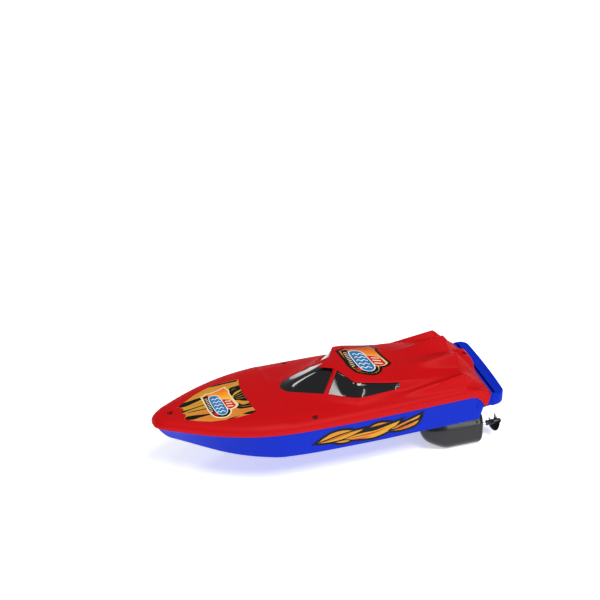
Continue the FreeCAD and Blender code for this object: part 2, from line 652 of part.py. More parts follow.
def make_seal(name, side):
    """The rubber lip seal behind the bush, revolved about the shaft."""
    body = doc.addObject("PartDesign::Body", f"seal_body_{name}")
    sketch = body.newObject("Sketcher::SketchObject", f"seal_sketch_{name}")
    plane = next(f for f in body.Origin.OriginFeatures if f.Role == "XZ_Plane")
    sketch.AttachmentSupport = [(plane, "")]
    sketch.MapMode = "FlatFace"
    front = size("pod_rear")
    inner = size("shaft_radius") + size("running_gap")
    profile = ((front, inner), (front + 2.0, inner), (front + 2.0, 2.6), (front + 1.1, 3.6),
               (front, 3.6))
    for start, end in zip(profile, profile[1:] + profile[:1]):
        sketch.addGeometry(Part.LineSegment(Vector(*start, 0), Vector(*end, 0)), False)
    turned = body.newObject("PartDesign::Revolution", f"seal_{name}")
    turned.Profile = sketch
    turned.ReferenceAxis = (sketch, ["H_Axis"])
    turned.Angle = 360
    body.Label = f"shaft_seal_{name}"
    body.setExpression("Placement.Base.x", "Sizes.frame_shift_x")
    body.setExpression("Placement.Base.y", f"{side} * Sizes.pod_offset")
    body.setExpression("Placement.Base.z", "Sizes.platform_height + Sizes.shaft_height")
    parts.append(body)


def make_shaft(name, side):
    """The motor's shaft, on through the bush and seal into the propeller's hub."""
    y, z = side * size("pod_offset"), size("shaft_height")
    front = size("motor_rear") + size("motor_length") + 2.6
    end = size("hub_front") - size("hub_bore_depth")
    solid_feature(f"drive_shaft_{name}", rod(size("shaft_radius"), (front, y, z), (end, y, z)))


def make_propeller(name, side):
    """Three oval blades set at their pitch round a domed hub, left- or right-handed."""
    y = side * size("pod_offset")
    z = size("shaft_height")
    front, length, radius = size("hub_front"), size("hub_length"), size("hub_radius")
    hub = rod(radius, (front, y, z), (front - length, y, z))
    nose = Part.makeSphere(radius, Vector(front - length, y, z))
    hub = hub.fuse(nose)
    reach = size("blade_reach")
    centre = (reach + radius * 0.4) / 2
    blade_x = front - length + 4.4
    broad = Vector(0, size("blade_chord") / 2, centre)
    for step in range(3):
        oval = Part.Ellipse(broad, Vector(0, 0, reach), Vector(0, 0, centre))
        blade = Part.Face(Part.Wire(oval.toShape())).extrude(Vector(size("blade_thickness"), 0, 0))
        blade.translate(Vector(-size("blade_thickness") / 2, 0, 0))
        blade.rotate(Vector(0, 0, 0), Vector(0, 0, 1), -side * size("blade_pitch"))
        blade.rotate(Vector(0, 0, 0), Vector(1, 0, 0), 120 * step - side * 5)
        blade.translate(Vector(blade_x, y, z))
        hub = hub.fuse(blade)
    bore = rod(size("shaft_radius"), (front + 1, y, z), (front - size("hub_bore_depth"), y, z))
    solid_feature(f"propeller_{name}", hub.cut(bore).removeSplitter())


def make_thrust_washer(name, side):
    """The collar on the shaft that runs against the bush."""
    y = f"{side} * Sizes.pod_offset"
    start = "Sizes.pod_rear - Sizes.cap_thickness - 1.2"
    washer = primitive("Part::Cylinder", f"washer_outside_{name}",
                       {"Radius": "Sizes.shaft_radius + 1.1", "Height": "0.5"},
                       (start, y, "Sizes.shaft_height"), (1, 0, 0))
    bore = primitive("Part::Cylinder", f"washer_bore_{name}",
                     {"Radius": "Sizes.shaft_radius", "Height": "2"},
                     (f"{start} - 0.5", y, "Sizes.shaft_height"), (1, 0, 0))
    publish(boolean("Part::Cut", f"thrust_washer_{name}", washer, bore), f"thrust_washer_{name}")


def make_pod_screws(name, side):
    y = side * size("pod_offset")
    screws = []
    for x in POD_SCREWS_X:
        head = rod(1.9, (x, y, -26.6), (x, y, -25.2))
        shank = rod(0.85, (x, y, -30.1), (x, y, -26.4))
        slot = box((x - 1.1, x + 1.1), (y - 0.25, y + 0.25), (-25.8, -24))
        screws.append(head.fuse(shank).cut(slot))
    solid_feature(f"pod_screws_{name}", Part.makeCompound(screws))


# ---------------------------------------------------------------- battery, electronics


def hinge_line():
    """Where the battery door turns: (x, z) of the middle of its round front edge."""
    radius = size("door_thickness") / 2
    return size("door_front") - size("door_gap") - radius, size("pad_height") + radius


def make_battery_door():
    """A plate with two finger grooves and a screw hole, pocketed from a sketched pad."""
    gap = size("door_gap")
    body = doc.addObject("PartDesign::Body", "door_body")
    sketch = body.newObject("Sketcher::SketchObject", "door_sketch")
    plane = next(f for f in body.Origin.OriginFeatures if f.Role == "XY_Plane")
    sketch.AttachmentSupport = [(plane, "")]
    sketch.MapMode = "FlatFace"
    front = hinge_line()[0]
    back = size("door_front") - size("door_length") + gap
    half = size("door_width") / 2 - gap
    corners = [Vector(front, -half, 0), Vector(front, half, 0), Vector(back, half, 0),
               Vector(back, -half, 0)]
    for start, end in zip(corners, corners[1:] + corners[:1]):
        sketch.addGeometry(Part.LineSegment(start, end), False)
    pad = body.newObject("PartDesign::Pad", "door_plate")
    pad.Profile = sketch
    pad.setExpression("Length", "Sizes.door_thickness")
    doc.recompute()
    full = body.Shape.Volume

    cuts = body.newObject("Sketcher::SketchObject", "door_cuts_sketch")
    cuts.AttachmentSupport = [(plane, "")]
    cuts.MapMode = "FlatFace"
    screw_x = door_middle() - 28.4
    cuts.addGeometry(Part.Circle(Vector(screw_x, 0, 0), Vector(0, 0, 1), 1.2), False)
    pocket = body.newObject("PartDesign::Pocket", "door_screw_hole")
    pocket.Profile = cuts
    pocket.Type = "ThroughAll"
    pocket.Reversed = True
    doc.recompute()
    if not body.Shape.Volume < full:
        raise RuntimeError("the battery door's screw hole cut nothing")

    grooves = body.newObject("Sketcher::SketchObject", "door_grip_sketch")
    grooves.AttachmentSupport = [(plane, "")]
    grooves.MapMode = "FlatFace"
    for step in range(4):
        x = back + 9 + 3.0 * step
        rectangle = [Vector(x, -8, 0), Vector(x + 1.2, -8, 0), Vector(x + 1.2, 8, 0), Vector(x, 8, 0)]
        for start, end in zip(rectangle, rectangle[1:] + rectangle[:1]):
            grooves.addGeometry(Part.LineSegment(start, end), False)
    grip = body.newObject("PartDesign::Pocket", "door_grip")
    grip.Profile = grooves
    grip.Length = 0.6
    grip.Reversed = True
    doc.recompute()
    plate = body.Shape.copy()
    plate.translate(Vector(0, 0, size("pad_height")))
    x, z = hinge_line()
    round_edge = rod(size("door_thickness") / 2, (x, -half, z), (x, half, z))
    reach = size("door_width") / 2 + 0.6
    pins = rod(size("hinge_pin"), (x, -reach, z), (x, reach, z))
    solid_feature("battery_door", plate.multiFuse([round_edge, pins]).removeSplitter())


def make_door_gasket():
    middle = door_middle()
    floor = size("pad_height") + size("door_thickness")
    outer = box((middle - 29.8, middle + 29.8), (-16.8, 16.8), (floor, floor + 1))
    inner = box((middle - 27, middle + 27), (-14.8, 14.8), (floor - 1, floor + 2))
    hole = rod(2.0, (middle - 28.4, 0, floor - 1), (middle - 28.4, 0, floor + 2))
    solid_feature("door_gasket", outer.cut(inner).cut(hole))


def make_door_screw():
    x = door_middle() - 28.4
    floor = size("pad_height")
    head = rod(2.1, (x, 0, floor - 1.0), (x, 0, floor))
    shank = rod(1.1, (x, 0, floor), (x, 0, floor + 5.2))
    slot = box((x - 1.3, x + 1.3), (-0.3, 0.3), (floor - 2, floor - 0.5))
    solid_feature("door_screw", head.fuse(shank).cut(slot))


def make_battery():
    middle = door_middle()
    floor = size("pad_height") + size("door_thickness") + size("gasket_thickness")
    z = floor + size("cell_radius") + 0.8
    half = size("cell_length") / 2
    cells = []
    for y in (-size("cell_radius") - 0.05, size("cell_radius") + 0.05):
        can = rod(size("cell_radius"), (middle - half, y, z), (middle + half, y, z))
        button = rod(2.6, (middle + half, y, z), (middle + half + 1.4, y, z))
        cells.append(can.fuse(button))
    solid_feature("battery_cells", Part.makeCompound(cells))


def make_battery_leads():
    """Two short leads from the cells, through the bay's wall, onto the receiver board."""
    start = door_middle() - size("cell_length") / 2
    height = -15.6
    leads = [rod(size("wire_radius"), (start, y, height), (size("board_front") - 1.5, y, height))
             for y in (5.0, 7.4)]
    solid_feature("battery_leads", Part.makeCompound(leads))


def make_board():
    plate = primitive("Part::Box", "board_plate",
                      {"Length": "Sizes.board_length", "Width": "Sizes.board_width",
                       "Height": "Sizes.board_thickness"},
                      ("Sizes.board_front - Sizes.board_length", "-Sizes.board_width / 2",
                       "Sizes.board_height"))
    holes = [primitive("Part::Cylinder", f"board_hole_{number}", {"Radius": "1.1", "Height": "6"},
                       (x, y, "Sizes.board_height - 2"))
             for number, (x, y) in enumerate(((-66, -10.5), (-66, 10.5), (-96, -10.5), (-96, 10.5)))]
    publish(boolean("Part::Cut", "receiver_board", plate, fused("board_holes", holes)),
            "receiver_board")


def make_board_parts():
    top = size("board_height") + size("board_thickness")
    chip = box((-84, -74), (-3.5, 3.5), (top, top + 1.6))
    driver_port = box((-94, -88), (2, 7), (top, top + 1.6))
    driver_starboard = box((-94, -88), (-7, -2), (top, top + 1.6))
    crystal = box((-73, -70), (-6, 4), (top, top + 3.2))
    capacitor = rod(2.5, (-88.5, 11, top), (-88.5, 11, top + 7))
    coil = rod(2.0, (-70, -11, top), (-70, -11, top + 4))
    solid_feature("receiver_chips", Part.makeCompound(
        [chip, driver_port, driver_starboard, crystal, capacitor, coil]))


def make_antenna():
    top = size("board_height") + size("board_thickness")
    points = ((-70, -11, top + 4), (-70, -11, top + 12), (-56, -20, 2), (-20, -26, 6),
              (20, -26, 6), (56, -22, 4))
    solid_feature("antenna_wire", lead(points, 0.5))


def make_motor_leads(name, side):
    radius = size("wire_radius")
    top = size("board_height") + size("board_thickness")
    y = side * size("pod_offset")
    z = size("shaft_height")
    hole = size("lead_hole_x")
    leads = []
    for across in (-0.75, 0.75):
        points = ((-98 + across, side * 11, top), (-98 + across, side * 11, top + 5),
                  (-99 + across, side * 20, -11), (hole + across, y, -15),
                  (hole + across, y, z + 6), (hole - 3, y + across * 2, z))
        leads.append(lead(points, radius))
    solid_feature(f"motor_leads_{name}", Part.makeCompound(leads))


def make_grommet(name, side):
    y = side * size("pod_offset")
    x = size("lead_hole_x")
    collar = rod(2.6, (x, y, -30.4), (x, y, -26.2)).fuse(rod(3.6, (x, y, -26.2), (x, y, -25.2)))
    slot = box((x - 1.5, x + 1.5), (y - 0.8, y + 0.8), (-40, -20))
    solid_feature(f"lead_grommet_{name}", collar.cut(slot))


def make_switch():
    centre = size("switch_x")
    body = box((centre - 7, centre + 7), (-3.4, 3.4), (-29.5, -23.4))
    body = body.cut(box((centre - 4.4, centre + 4.4), (-2.0, 2.0), (-31, -26.4)))
    solid_feature("switch_body", body)
    stem = box((centre + 0.2, centre + 2.8), (-1.8, 1.8), (-31.3, -26.5))
    grip = [box((centre + 0.2 + step * 0.9, centre + 0.6 + step * 0.9), (-2, 2), (-32, -31.0))
            for step in range(1, 3)]
    solid_feature("switch_knob", stem.cut(Part.makeCompound(grip)))


def make_water_pins():
    pins = []
    for y in (-7, 7):
        head = rod(2.2, (62, y, -31.6), (62, y, -30.8))
        shank = rod(1.2, (62, y, -31.0), (62, y, -22))
        pins.append(head.fuse(shank))
    solid_feature("water_sensor_pins", Part.makeCompound(pins))


def make_foam():
    block = Part.makeBox(40, 32, 15, Vector(64, -16, -11))
    solid_feature("bow_foam", block.makeFillet(2.0, block.Edges))


def check_document():
    doc.recompute()
    for item in doc.Objects:
        if "Invalid" in item.State or "Error" in item.State:
            raise RuntimeError(f"{item.Label} failed: {item.State}")
    for item in parts:
        if item.Shape.isNull() or not item.Shape.isValid():
            raise RuntimeError(f"{item.Label} has no valid shape")


def write_parts():
    os.makedirs("parts", exist_ok=True)
    for item in parts:
        item.Shape.exportStep(f"parts/{item.Label}.step")
        low, high = item.Shape.BoundBox, item.Shape.Volume
        print(f"{item.Label:24s} solids {len(item.Shape.Solids)} volume {high:9.0f} "
              f"x {low.XMin:7.1f} {low.XMax:7.1f} z {low.ZMin:6.1f} {low.ZMax:6.1f}")


doc = FreeCAD.newDocument("rc_boat")
sheet = doc.addObject("Spreadsheet::Sheet", "Sizes")
make_sheet()
hull_outer = hull_body()
make_hull(hull_outer)
deck_outer, deck_cavity = make_deck()
make_windows(deck_cavity)
make_deck_screws()
make_decals(deck_outer, hull_outer)
for side_name, side_sign in PORT_STARBOARD:
    make_pod(side_name, side_sign, hull_outer)
    make_pod_screws(side_name, side_sign)
    motor_can(side_name, side_sign)
    motor_end(side_name, side_sign)
    make_bush(side_name, side_sign)
    make_seal(side_name, side_sign)
    make_shaft(side_name, side_sign)
    make_thrust_washer(side_name, side_sign)
    make_propeller(side_name, side_sign)
    make_motor_leads(side_name, side_sign)
    make_grommet(side_name, side_sign)
make_battery_door()
make_door_gasket()
make_door_screw()
make_battery()
make_battery_leads()
make_board()
make_board_parts()
make_antenna()
make_switch()
make_water_pins()
make_foam()
check_document()
write_parts()
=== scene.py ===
import bpy
import bmesh
import json
import math
import numpy as np
from mathutils import Matrix, Vector
from mathutils.geometry import delaunay_2d_cdt


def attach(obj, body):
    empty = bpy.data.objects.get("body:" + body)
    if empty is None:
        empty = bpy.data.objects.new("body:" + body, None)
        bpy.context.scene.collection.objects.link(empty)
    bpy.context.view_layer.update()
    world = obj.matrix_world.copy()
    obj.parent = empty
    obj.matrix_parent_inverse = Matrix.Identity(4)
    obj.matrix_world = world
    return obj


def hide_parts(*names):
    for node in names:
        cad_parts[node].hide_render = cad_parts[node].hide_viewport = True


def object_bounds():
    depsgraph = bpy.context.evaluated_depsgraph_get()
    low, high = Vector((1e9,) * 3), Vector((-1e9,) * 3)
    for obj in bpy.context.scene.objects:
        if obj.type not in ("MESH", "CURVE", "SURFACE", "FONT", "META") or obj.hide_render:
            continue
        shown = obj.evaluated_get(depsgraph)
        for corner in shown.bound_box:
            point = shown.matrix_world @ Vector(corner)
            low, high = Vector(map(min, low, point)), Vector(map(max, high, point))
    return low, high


# Radio-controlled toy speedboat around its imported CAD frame. Shapes are worked out in the boat's
# drawing millimetres (x forward of midships, y to port, z above the stern platform), and place()
# turns them into the frame's metres.

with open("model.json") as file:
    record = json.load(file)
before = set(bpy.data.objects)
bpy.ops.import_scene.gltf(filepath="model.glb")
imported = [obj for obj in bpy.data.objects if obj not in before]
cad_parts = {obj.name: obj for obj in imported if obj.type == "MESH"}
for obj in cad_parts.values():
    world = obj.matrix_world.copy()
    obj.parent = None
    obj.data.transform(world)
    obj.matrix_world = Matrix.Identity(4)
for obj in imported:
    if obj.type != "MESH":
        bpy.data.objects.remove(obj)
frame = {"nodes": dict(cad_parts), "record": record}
CAD_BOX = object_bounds()

SHAFT_Y, SHAFT_Z = 28.5, -41.3
BELLY_Z = -56.7
POD_REST_DRAWN = (-125.0, SHAFT_Y, BELLY_Z)
PORT_REST = next(mount for mount in frame["record"]["mounts"] if mount["name"] == "port_pod_rest")
ORIGIN = np.array(PORT_REST["pos_m"]) - np.array(POD_REST_DRAWN) / 1000
SIDES = (("port", 1), ("starboard", -1))

# ------------------------------------------------------------------ lines of the boat, as in the CAD

EDGE = ((150, 0.4), (149.3, 5.2), (147.6, 8.2), (144, 11.2), (132, 18.6), (120, 25.6), (108, 32.0),
        (96, 37.3), (84, 41.7), (72, 45.2), (60, 47.6), (48, 49.2), (30, 50.0), (0, 49.9),
        (-45, 48.3), (-105, 45.3), (-130, 43.9), (-134, 43.6), (-137, 42.8), (-139, 41.2), (-140, 39.2))
CROWN = ((150, 5.0), (148, 7.0), (144, 9.0), (138, 10.4), (126, 11.8), (110, 13.0), (90, 14.2),
         (67, 14.9), (44.4, 15.3))
CENTRE = ((44.4, 0, 15.3), (40.2, 0, 15.6), (37.8, 0, 16.6), (7.2, 0, 30.2), (-8.2, 0, 31.3),
          (-27, 0, 30.8), (-48.3, 0, 27.3), (-59.1, 0, 25.4), (-77.4, 0, 24.0), (-117, 0, 21.5),
          (-140, 0, 0.9))
INNER_FIN = ((44.4, 4, 15.2), (40.2, 0.6, 15.6), (37.8, 0.2, 16.55), (7.2, 0.3, 30.15),
             (-8.2, 3.2, 31.2), (-18.6, 10, 30.9), (-27, 12, 30.4), (-59.1, 12.9, 24.9),
             (-77.4, 12.9, 24.0), (-117, 15.3, 30.5), (-140, 12, 0.9))
INNER_VALLEY = ((44.4, 8, 15.1), (40.2, 1.2, 15.6), (37.8, 0.4, 16.5), (7.2, 0.6, 30.1),
                (-8.2, 6.5, 31.1), (-18.6, 20, 30.1), (-27, 21, 29.6), (-59.1, 21, 23.9),
                (-77.4, 18.5, 23.0), (-117, 21.5, 18.2), (-140, 17, 0.9))
ROOF_EDGE = ((44.4, 12, 14.9), (40.2, 2.4, 15.6), (37.8, 0.8, 16.45), (7.2, 0.9, 30.0),
             (-8.2, 9.9, 30.9), (-18.6, 29.1, 28.8), (-27, 30.3, 27.7), (-36.6, 30.6, 25.8),
             (-48.3, 30.9, 23.4), (-59.1, 30.9, 21.9), (-71, 31.2, 21.0), (-84.6, 30.6, 18.9),
             (-117, 26, 17.7), (-140, 22, 0.9))
WINDOW_FOOT = ((44.4, 18, 14.5), (40.2, 5, 15.6), (37.8, 1.6, 16.4), (35.7, 7.2, 16.5),
               (5.1, 22.8, 16.5), (-9.2, 33.3, 16.5), (-21.3, 37.6, 16.1), (-54.6, 33.6, 15.0),
               (-66, 34.2, 14.6), (-84.6, 33.5, 15.8), (-117, 30.5, 17.8), (-140, 26, 0.9))
OUTER_FIN = ((44.4, 24, 14.1), (40.2, 9, 15.2), (37.8, 12, 15.0), (32, 17, 14.9), (15.6, 25.5, 14.6),
             (-8.2, 35.5, 13.4), (-21.3, 39.6, 12.8), (-58.7, 39, 12.6), (-117, 38.1, 23.0),
             (-140, 31, 0.9))
FIN_FOOT = ((44.4, 36, 12.6), (-8.2, 42.5, 11.2), (-58.7, 41.6, 11.4), (-117, 39.7, 10.8),
            (-140, 36, 0.8))
SHOULDER = ((44.4, 46.2, 9.9), (-8.2, 46.9, 9.8), (-58.7, 45.6, 9.4), (-117, 43.2, 8.8),
            (-132, 41.6, 5.6), (-140, 38, 0.7))
LINES = (CENTRE, INNER_FIN, INNER_VALLEY, ROOF_EDGE, WINDOW_FOOT, OUTER_FIN, FIN_FOOT, SHOULDER)
CROWN_POWER = 2.5
CABIN_START = 44.4
CHINE = ((149.0, 0.3, 2.9), (147.4, 0.5, 0.6), (146, 0.6, -1.4), (143, 0.7, -6.0), (140, 0.8, -9.6),
         (136.5, 1.0, -12.6), (115.8, 15, -16.2), (90, 30, -20.6), (66, 39, -23.6),
         (46.5, 43.2, -25.2), (15, 43.8, -26.3), (-30, 43.5, -26.5), (-72, 42, -26.7), (-135, 40.5, -26.7))
PAD = ((149.0, 0.1, 2.7), (147.4, 0.2, 0.3), (146, 0.2, -1.7), (143, 0.3, -6.4), (140, 0.3, -10.1),
       (136.5, 0.4, -13.4), (130, 0.8, -17.0), (120, 2.0, -21.5), (108, 4.0, -25.0), (96, 6.5, -27.5),
       (80, 10, -29.5), (60, 14.5, -30.8), (40, 17, -31.4), (10, 18.5, -31.5), (-135, 18.5, -31.5))
CORNER_SKIRT = ((-121, 0.2), (-126.5, -1.0), (-130.8, -5.2), (-135.0, -12.2), (-136.3, -12.2),
                (-138.2, -6.0), (-139.4, 0.6))
SKIRT_SIDE = ((-121, 44.4), (-130, 43.9), (-140, 43.4))
TOWER = ((-121, 17.0), (-129, 18.4), (-134.6, 16.6), (-137.2, 13.0), (-138.8, 5.0), (-139.8, 0.6))
WINDSCREEN = ((39.4, 15.75), (37.4, 17.4), (8.3, 30.15), (-8.3, 31.0), (-7.6, 30.0), (6.0, 16.6),
              (36.6, 15.95))
SIDE_WINDOW = ((-9.4, 30.7), (-13.0, 29.8), (-18.9, 28.1), (-27, 26.9), (-36.6, 25.0), (-48.3, 22.6),
               (-58.6, 21.0), (-59.7, 20.3), (-59.4, 18.9), (-58.0, 17.4), (-55.0, 16.0), (-38, 16.3),
               (-21.3, 16.7), (-9.2, 16.7), (3.6, 16.6))
POD = ((-80.6, 0.3, -33.4), (-80.8, 1.5, -35.4), (-81.3, 2.9, -37.6), (-82.4, 4.6, -41.2),
       (-86, 6.8, -46.6), (-92, 8.2, -51.0), (-98, 8.9, -54.4), (-103, 9.2, -56.6), (-106, 9.2, -57.2),
       (-134.6, 9.2, -57.2))
POD_CAP = ((-134.75, 9.15, -57.15), (-136.0, 9.0, -56.5), (-136.9, 8.6, -55.2), (-137.4, 8.1, -53.4),
           (-137.6, 7.4, -51.6))
POD_ROOF, POD_ROOF_IN_HULL = -28.9, -24.0
SCREWS = ((134.4, 0, 7.6), (20.9, 43.2, 8.6), (20.9, -43.2, 8.6), (-131.5, 0, 13.6))

TRANSOM_X = -140.0
STERN_CORNER_X = -121       # the corner skirts and the screw tower start here
CREASE_Z = 7.2              # the deck's side turns down at this height
SEAM_SLOPE = 0.0105
HULL_INSET = 0.9
WALL = 1.8
LIP_ROUND = 1.6
TOWER_HALF, TOWER_FADE = 9.4, 1.2
SKIN_SOFT, PANE_SOFT = 0.8, 3.0


def stern_first(rows, column=1):
    """The places and one column of a bow-to-stern table, turned round so that places rise."""
    data = np.array([(row[0], row[column]) for row in rows], float)[::-1]
    return data[:, 0], data[:, 1]


def table(rows, column, x):
    """Straight interpolation in a bow-to-stern table."""
    return np.interp(x, *stern_first(rows, column))


def smooth_table(rows, column, x):
    """Monotone cubic interpolation in a bow-to-stern table."""
    at, value = stern_first(rows, column)
    step = np.diff(at)
    slope = np.diff(value) / step
    tangent = np.zeros_like(value)
    same_way = slope[1:] * slope[:-1] > 0
    first, second = 2 * step[1:] + step[:-1], step[1:] + 2 * step[:-1]
    with np.errstate(divide="ignore", invalid="ignore"):
        mean = (first + second) / (first / slope[:-1] + second / slope[1:])
    tangent[1:-1] = np.where(same_way, mean, 0.0)
    tangent[0], tangent[-1] = slope[0], slope[-1]
    x = np.clip(np.asarray(x, float), at[0], at[-1])
    k = np.clip(np.searchsorted(at, x, side="right") - 1, 0, len(at) - 2)
    t = (x - at[k]) / step[k]
    return (value[k] * (1 + 2 * t) * (1 - t) ** 2 + tangent[k] * step[k] * t * (1 - t) ** 2
            + value[k + 1] * t * t * (3 - 2 * t) + tangent[k + 1] * step[k] * t * t * (t - 1))


def seam(x):
    """Height of the joint between hull and deck."""
    return (np.asarray(x, float) - TRANSOM_X) * SEAM_SLOPE


def crease(x):
    """Height of the deck's edge, which drops at the tip of the bow and at the transom."""
    x = np.asarray(x, float)
    bow_drop = np.maximum(0, (x - 140) / 10) * 2.6
    stern_drop = np.maximum(0, (-131 - x) / 9) * 6.6
    return CREASE_Z - bow_drop - stern_drop


def half_profile(x):
    """Half a cross-section of the deck, centre to edge."""
    beam = float(smooth_table(EDGE, 1, x))
    edge = float(crease(x))
    if x >= CABIN_START:
        share = np.linspace(0, 0.92, 24)
        top = float(smooth_table(CROWN, 1, x))
        y = share * beam
        z = edge + (top - edge) * np.sqrt(1 - share ** CROWN_POWER)
    else:
        y = np.array([table(line, 1, x) for line in LINES])
        z = np.array([table(line, 2, x) for line in LINES])
    return np.append(y, beam), np.append(z, edge)


CELL = 0.5
FIELD_X = np.arange(-146, 156 + CELL, CELL)
FIELD_Y = np.arange(-56, 56 + CELL, CELL)


def blurred(field, sigma):
    """A height field softened over sigma millimetres."""
    reach = int(3 * sigma / CELL) + 1
    taps = np.exp(-0.5 * (np.arange(-reach, reach + 1) * CELL / sigma) ** 2)
    taps /= taps.sum()
    for axis in (0, 1):
        padded = np.pad(field, [(reach, reach) if a == axis else (0, 0) for a in (0, 1)], mode="edge")
        field = sum(tap * np.take(padded, np.arange(k, k + field.shape[axis]), axis=axis)
                    for k, tap in enumerate(taps))
    return field


def deck_field():
    """Heights of the deck on a fine grid, with every crease softened as a moulding has it."""
    rows = []
    away = np.abs(FIELD_Y)
    for x in FIELD_X:
        y, z = half_profile(min(max(x, TRANSOM_X), 149.9))
        slope = (z[-1] - z[-2]) / max(y[-1] - y[-2], 0.2)
        slope = min(max(slope, -1.6), 0.0)
        row = np.interp(away, y, z) + np.maximum(away - y[-1], 0) * slope
        if x < TRANSOM_X:
            row = row + (x - TRANSOM_X) * 0.9
        rows.append(row)
    field = np.array(rows)
    top = np.interp(FIELD_X, *stern_first(TOWER), left=-2.0, right=TOWER[0][1])
    reach = np.clip((TOWER_HALF - away) / TOWER_FADE, 0, 1)
    reach = reach * reach * (3 - 2 * reach)
    risen = np.maximum(top[:, None] - field, 0) * reach[None, :]
    risen[FIELD_X > STERN_CORNER_X] = 0
    return blurred(field + risen, SKIN_SOFT)


FIELD = deck_field()
PANE_FIELD = blurred(FIELD, PANE_SOFT)
PANE_DEPTH, PANE_BLEND = 0.42, 0.35


def cubic_weights(t):
    """Weights of the four neighbours in a smooth cubic, at t of the way from the second to the third."""
    return np.stack([((-t + 2) * t - 1) * t / 2, ((3 * t - 5) * t * t + 2) / 2,
                     ((-3 * t + 4) * t + 1) * t / 2, (t - 1) * t * t / 2])


def field_z(field, x, y):
    """A height field's value at points in plan."""
    x, y = np.broadcast_arrays(np.asarray(x, float), np.asarray(y, float))
    u = np.clip((x - FIELD_X[0]) / CELL, 1, len(FIELD_X) - 3.001)
    v = np.clip((y - FIELD_Y[0]) / CELL, 1, len(FIELD_Y) - 3.001)
    i, j = u.astype(int), v.astype(int)
    across, along = cubic_weights(u - i), cubic_weights(v - j)
    total = np.zeros_like(u)
    for a in range(4):
        for b in range(4):
            total += across[a] * along[b] * field[i + a - 1, j + b - 1]
    return total


def deck_z(x, y):
    """Height of the deck's skin."""
    return field_z(FIELD, x, y)


def pane_z(x, y, tilt):
    """Height of the panes' face: just under the deck's skin, and rolled over softly at its ridges.

    A positive tilt sinks a pane towards its top edge, a negative one towards its sill."""
    near, soft = deck_z(x, y) - PANE_DEPTH, field_z(PANE_FIELD, x, y) - PANE_DEPTH * 0.5
    face = -PANE_BLEND * np.log(np.exp(-near / PANE_BLEND) + np.exp(-soft / PANE_BLEND))
    border = table(WINDOW_FOOT if tilt > 0 else ROOF_EDGE, 1, x)
    return face - tilt * np.clip(border - np.abs(y), 0 if tilt > 0 else -40, 40 if tilt > 0 else 0)


# ------------------------------------------------------------------ mesh helpers


def place(points):
    """Drawing millimetres to the frame's metres."""
    return np.asarray(points, float) / 1000 + ORIGIN


def new_object(name, points, faces, material, smooth_angle=32.0, merge=0.004, only=None):
    """A mesh from drawing millimetres, welded, with outward faces and sharp edges by angle."""
    mesh = bpy.data.meshes.new(name)
    mesh.from_pydata([tuple(p) for p in place(points)], [], [tuple(f) for f in faces])
    obj = bpy.data.objects.new(name, mesh)
    bpy.context.scene.collection.objects.link(obj)
    for item in (material if isinstance(material, (list, tuple)) else [material]):
        mesh.materials.append(item)
    weld(obj, merge, smooth_angle, only)
    return obj


def weld(obj, merge=0.004, smooth_angle=32.0, only=None):
    """Joins points closer than merge, among the numbered ones only if they are given."""
    bm = bmesh.new()
    bm.from_mesh(obj.data)
    if merge:
        bm.verts.ensure_lookup_table()
        verts = list(bm.verts) if only is None else [bm.verts[k] for k in only]
        bmesh.ops.remove_doubles(bm, verts=verts, dist=merge / 1000)
    bmesh.ops.dissolve_degenerate(bm, edges=bm.edges, dist=0.0005 / 1000)
    bmesh.ops.recalc_face_normals(bm, faces=bm.faces)
    limit = math.radians(smooth_angle)
    for face in bm.faces:
        face.smooth = True
    for edge in bm.edges:
        edge.smooth = len(edge.link_faces) == 2 and edge.calc_face_angle(0) < limit
    bm.to_mesh(obj.data)
    bm.free()
    obj.data.update()


def grid_faces(rows, columns, start=0, flip=False):
    """Quads of a grid of points numbered row by row."""
    index = start + np.arange(rows * columns).reshape(rows, columns)
    quads = np.stack([index[:-1, :-1], index[:-1, 1:], index[1:, 1:], index[1:, :-1]], -1).reshape(-1, 4)
    return (quads[:, ::-1] if flip else quads).tolist()


def strip(first, second):
    """Quads between two equally long runs of vertex numbers."""
    return [(a, b, d, c) for a, b, c, d in zip(first, first[1:], second, second[1:])]


def shell(outer, inner, borders):
    """Points and faces of a closed shell between two grids, joined along the named borders."""
    rows, columns = outer.shape[:2]
    points = np.concatenate([outer.reshape(-1, 3), inner.reshape(-1, 3)])
    offset = rows * columns
    faces = grid_faces(rows, columns) + grid_faces(rows, columns, offset, flip=True)
    index = np.arange(offset).reshape(rows, columns)
    runs = {"first_row": index[0], "last_row": index[-1], "first_column": index[:, 0],
            "last_column": index[:, -1]}
    for border in borders:
        run = runs[border].tolist()
        faces += strip(run, [k + offset for k in run])
    return points, faces


def end_faces(rows, columns, start=0):
    """Quads that close a grid's first and last rings, from each point to its mirror."""
    faces = []
    for row in (0, rows - 1):
        run = [start + row * columns + k for k in range(columns)]
        for k in range(columns // 2):
            faces.append((run[k], run[k + 1], run[columns - 2 - k], run[columns - 1 - k]))
    return faces


def capped(grid):
    """Points and faces of a tube of rings with both ends and the top closed."""
    rows, columns = grid.shape[:2]
    first = list(range(0, rows * columns, columns))
    last = [k + columns - 1 for k in first]
    faces = grid_faces(rows, columns) + end_faces(rows, columns) + strip(first, last)
    return grid.reshape(-1, 3), faces


def turned_faces(steps, count):
    """Quads round a turned solid of steps profiles, each of count points."""
    faces = []
    for step in range(steps):
        one, two = step * count, ((step + 1) % steps) * count
        faces += [(one + k, one + k + 1, two + k + 1, two + k) for k in range(count - 1)]
    return faces


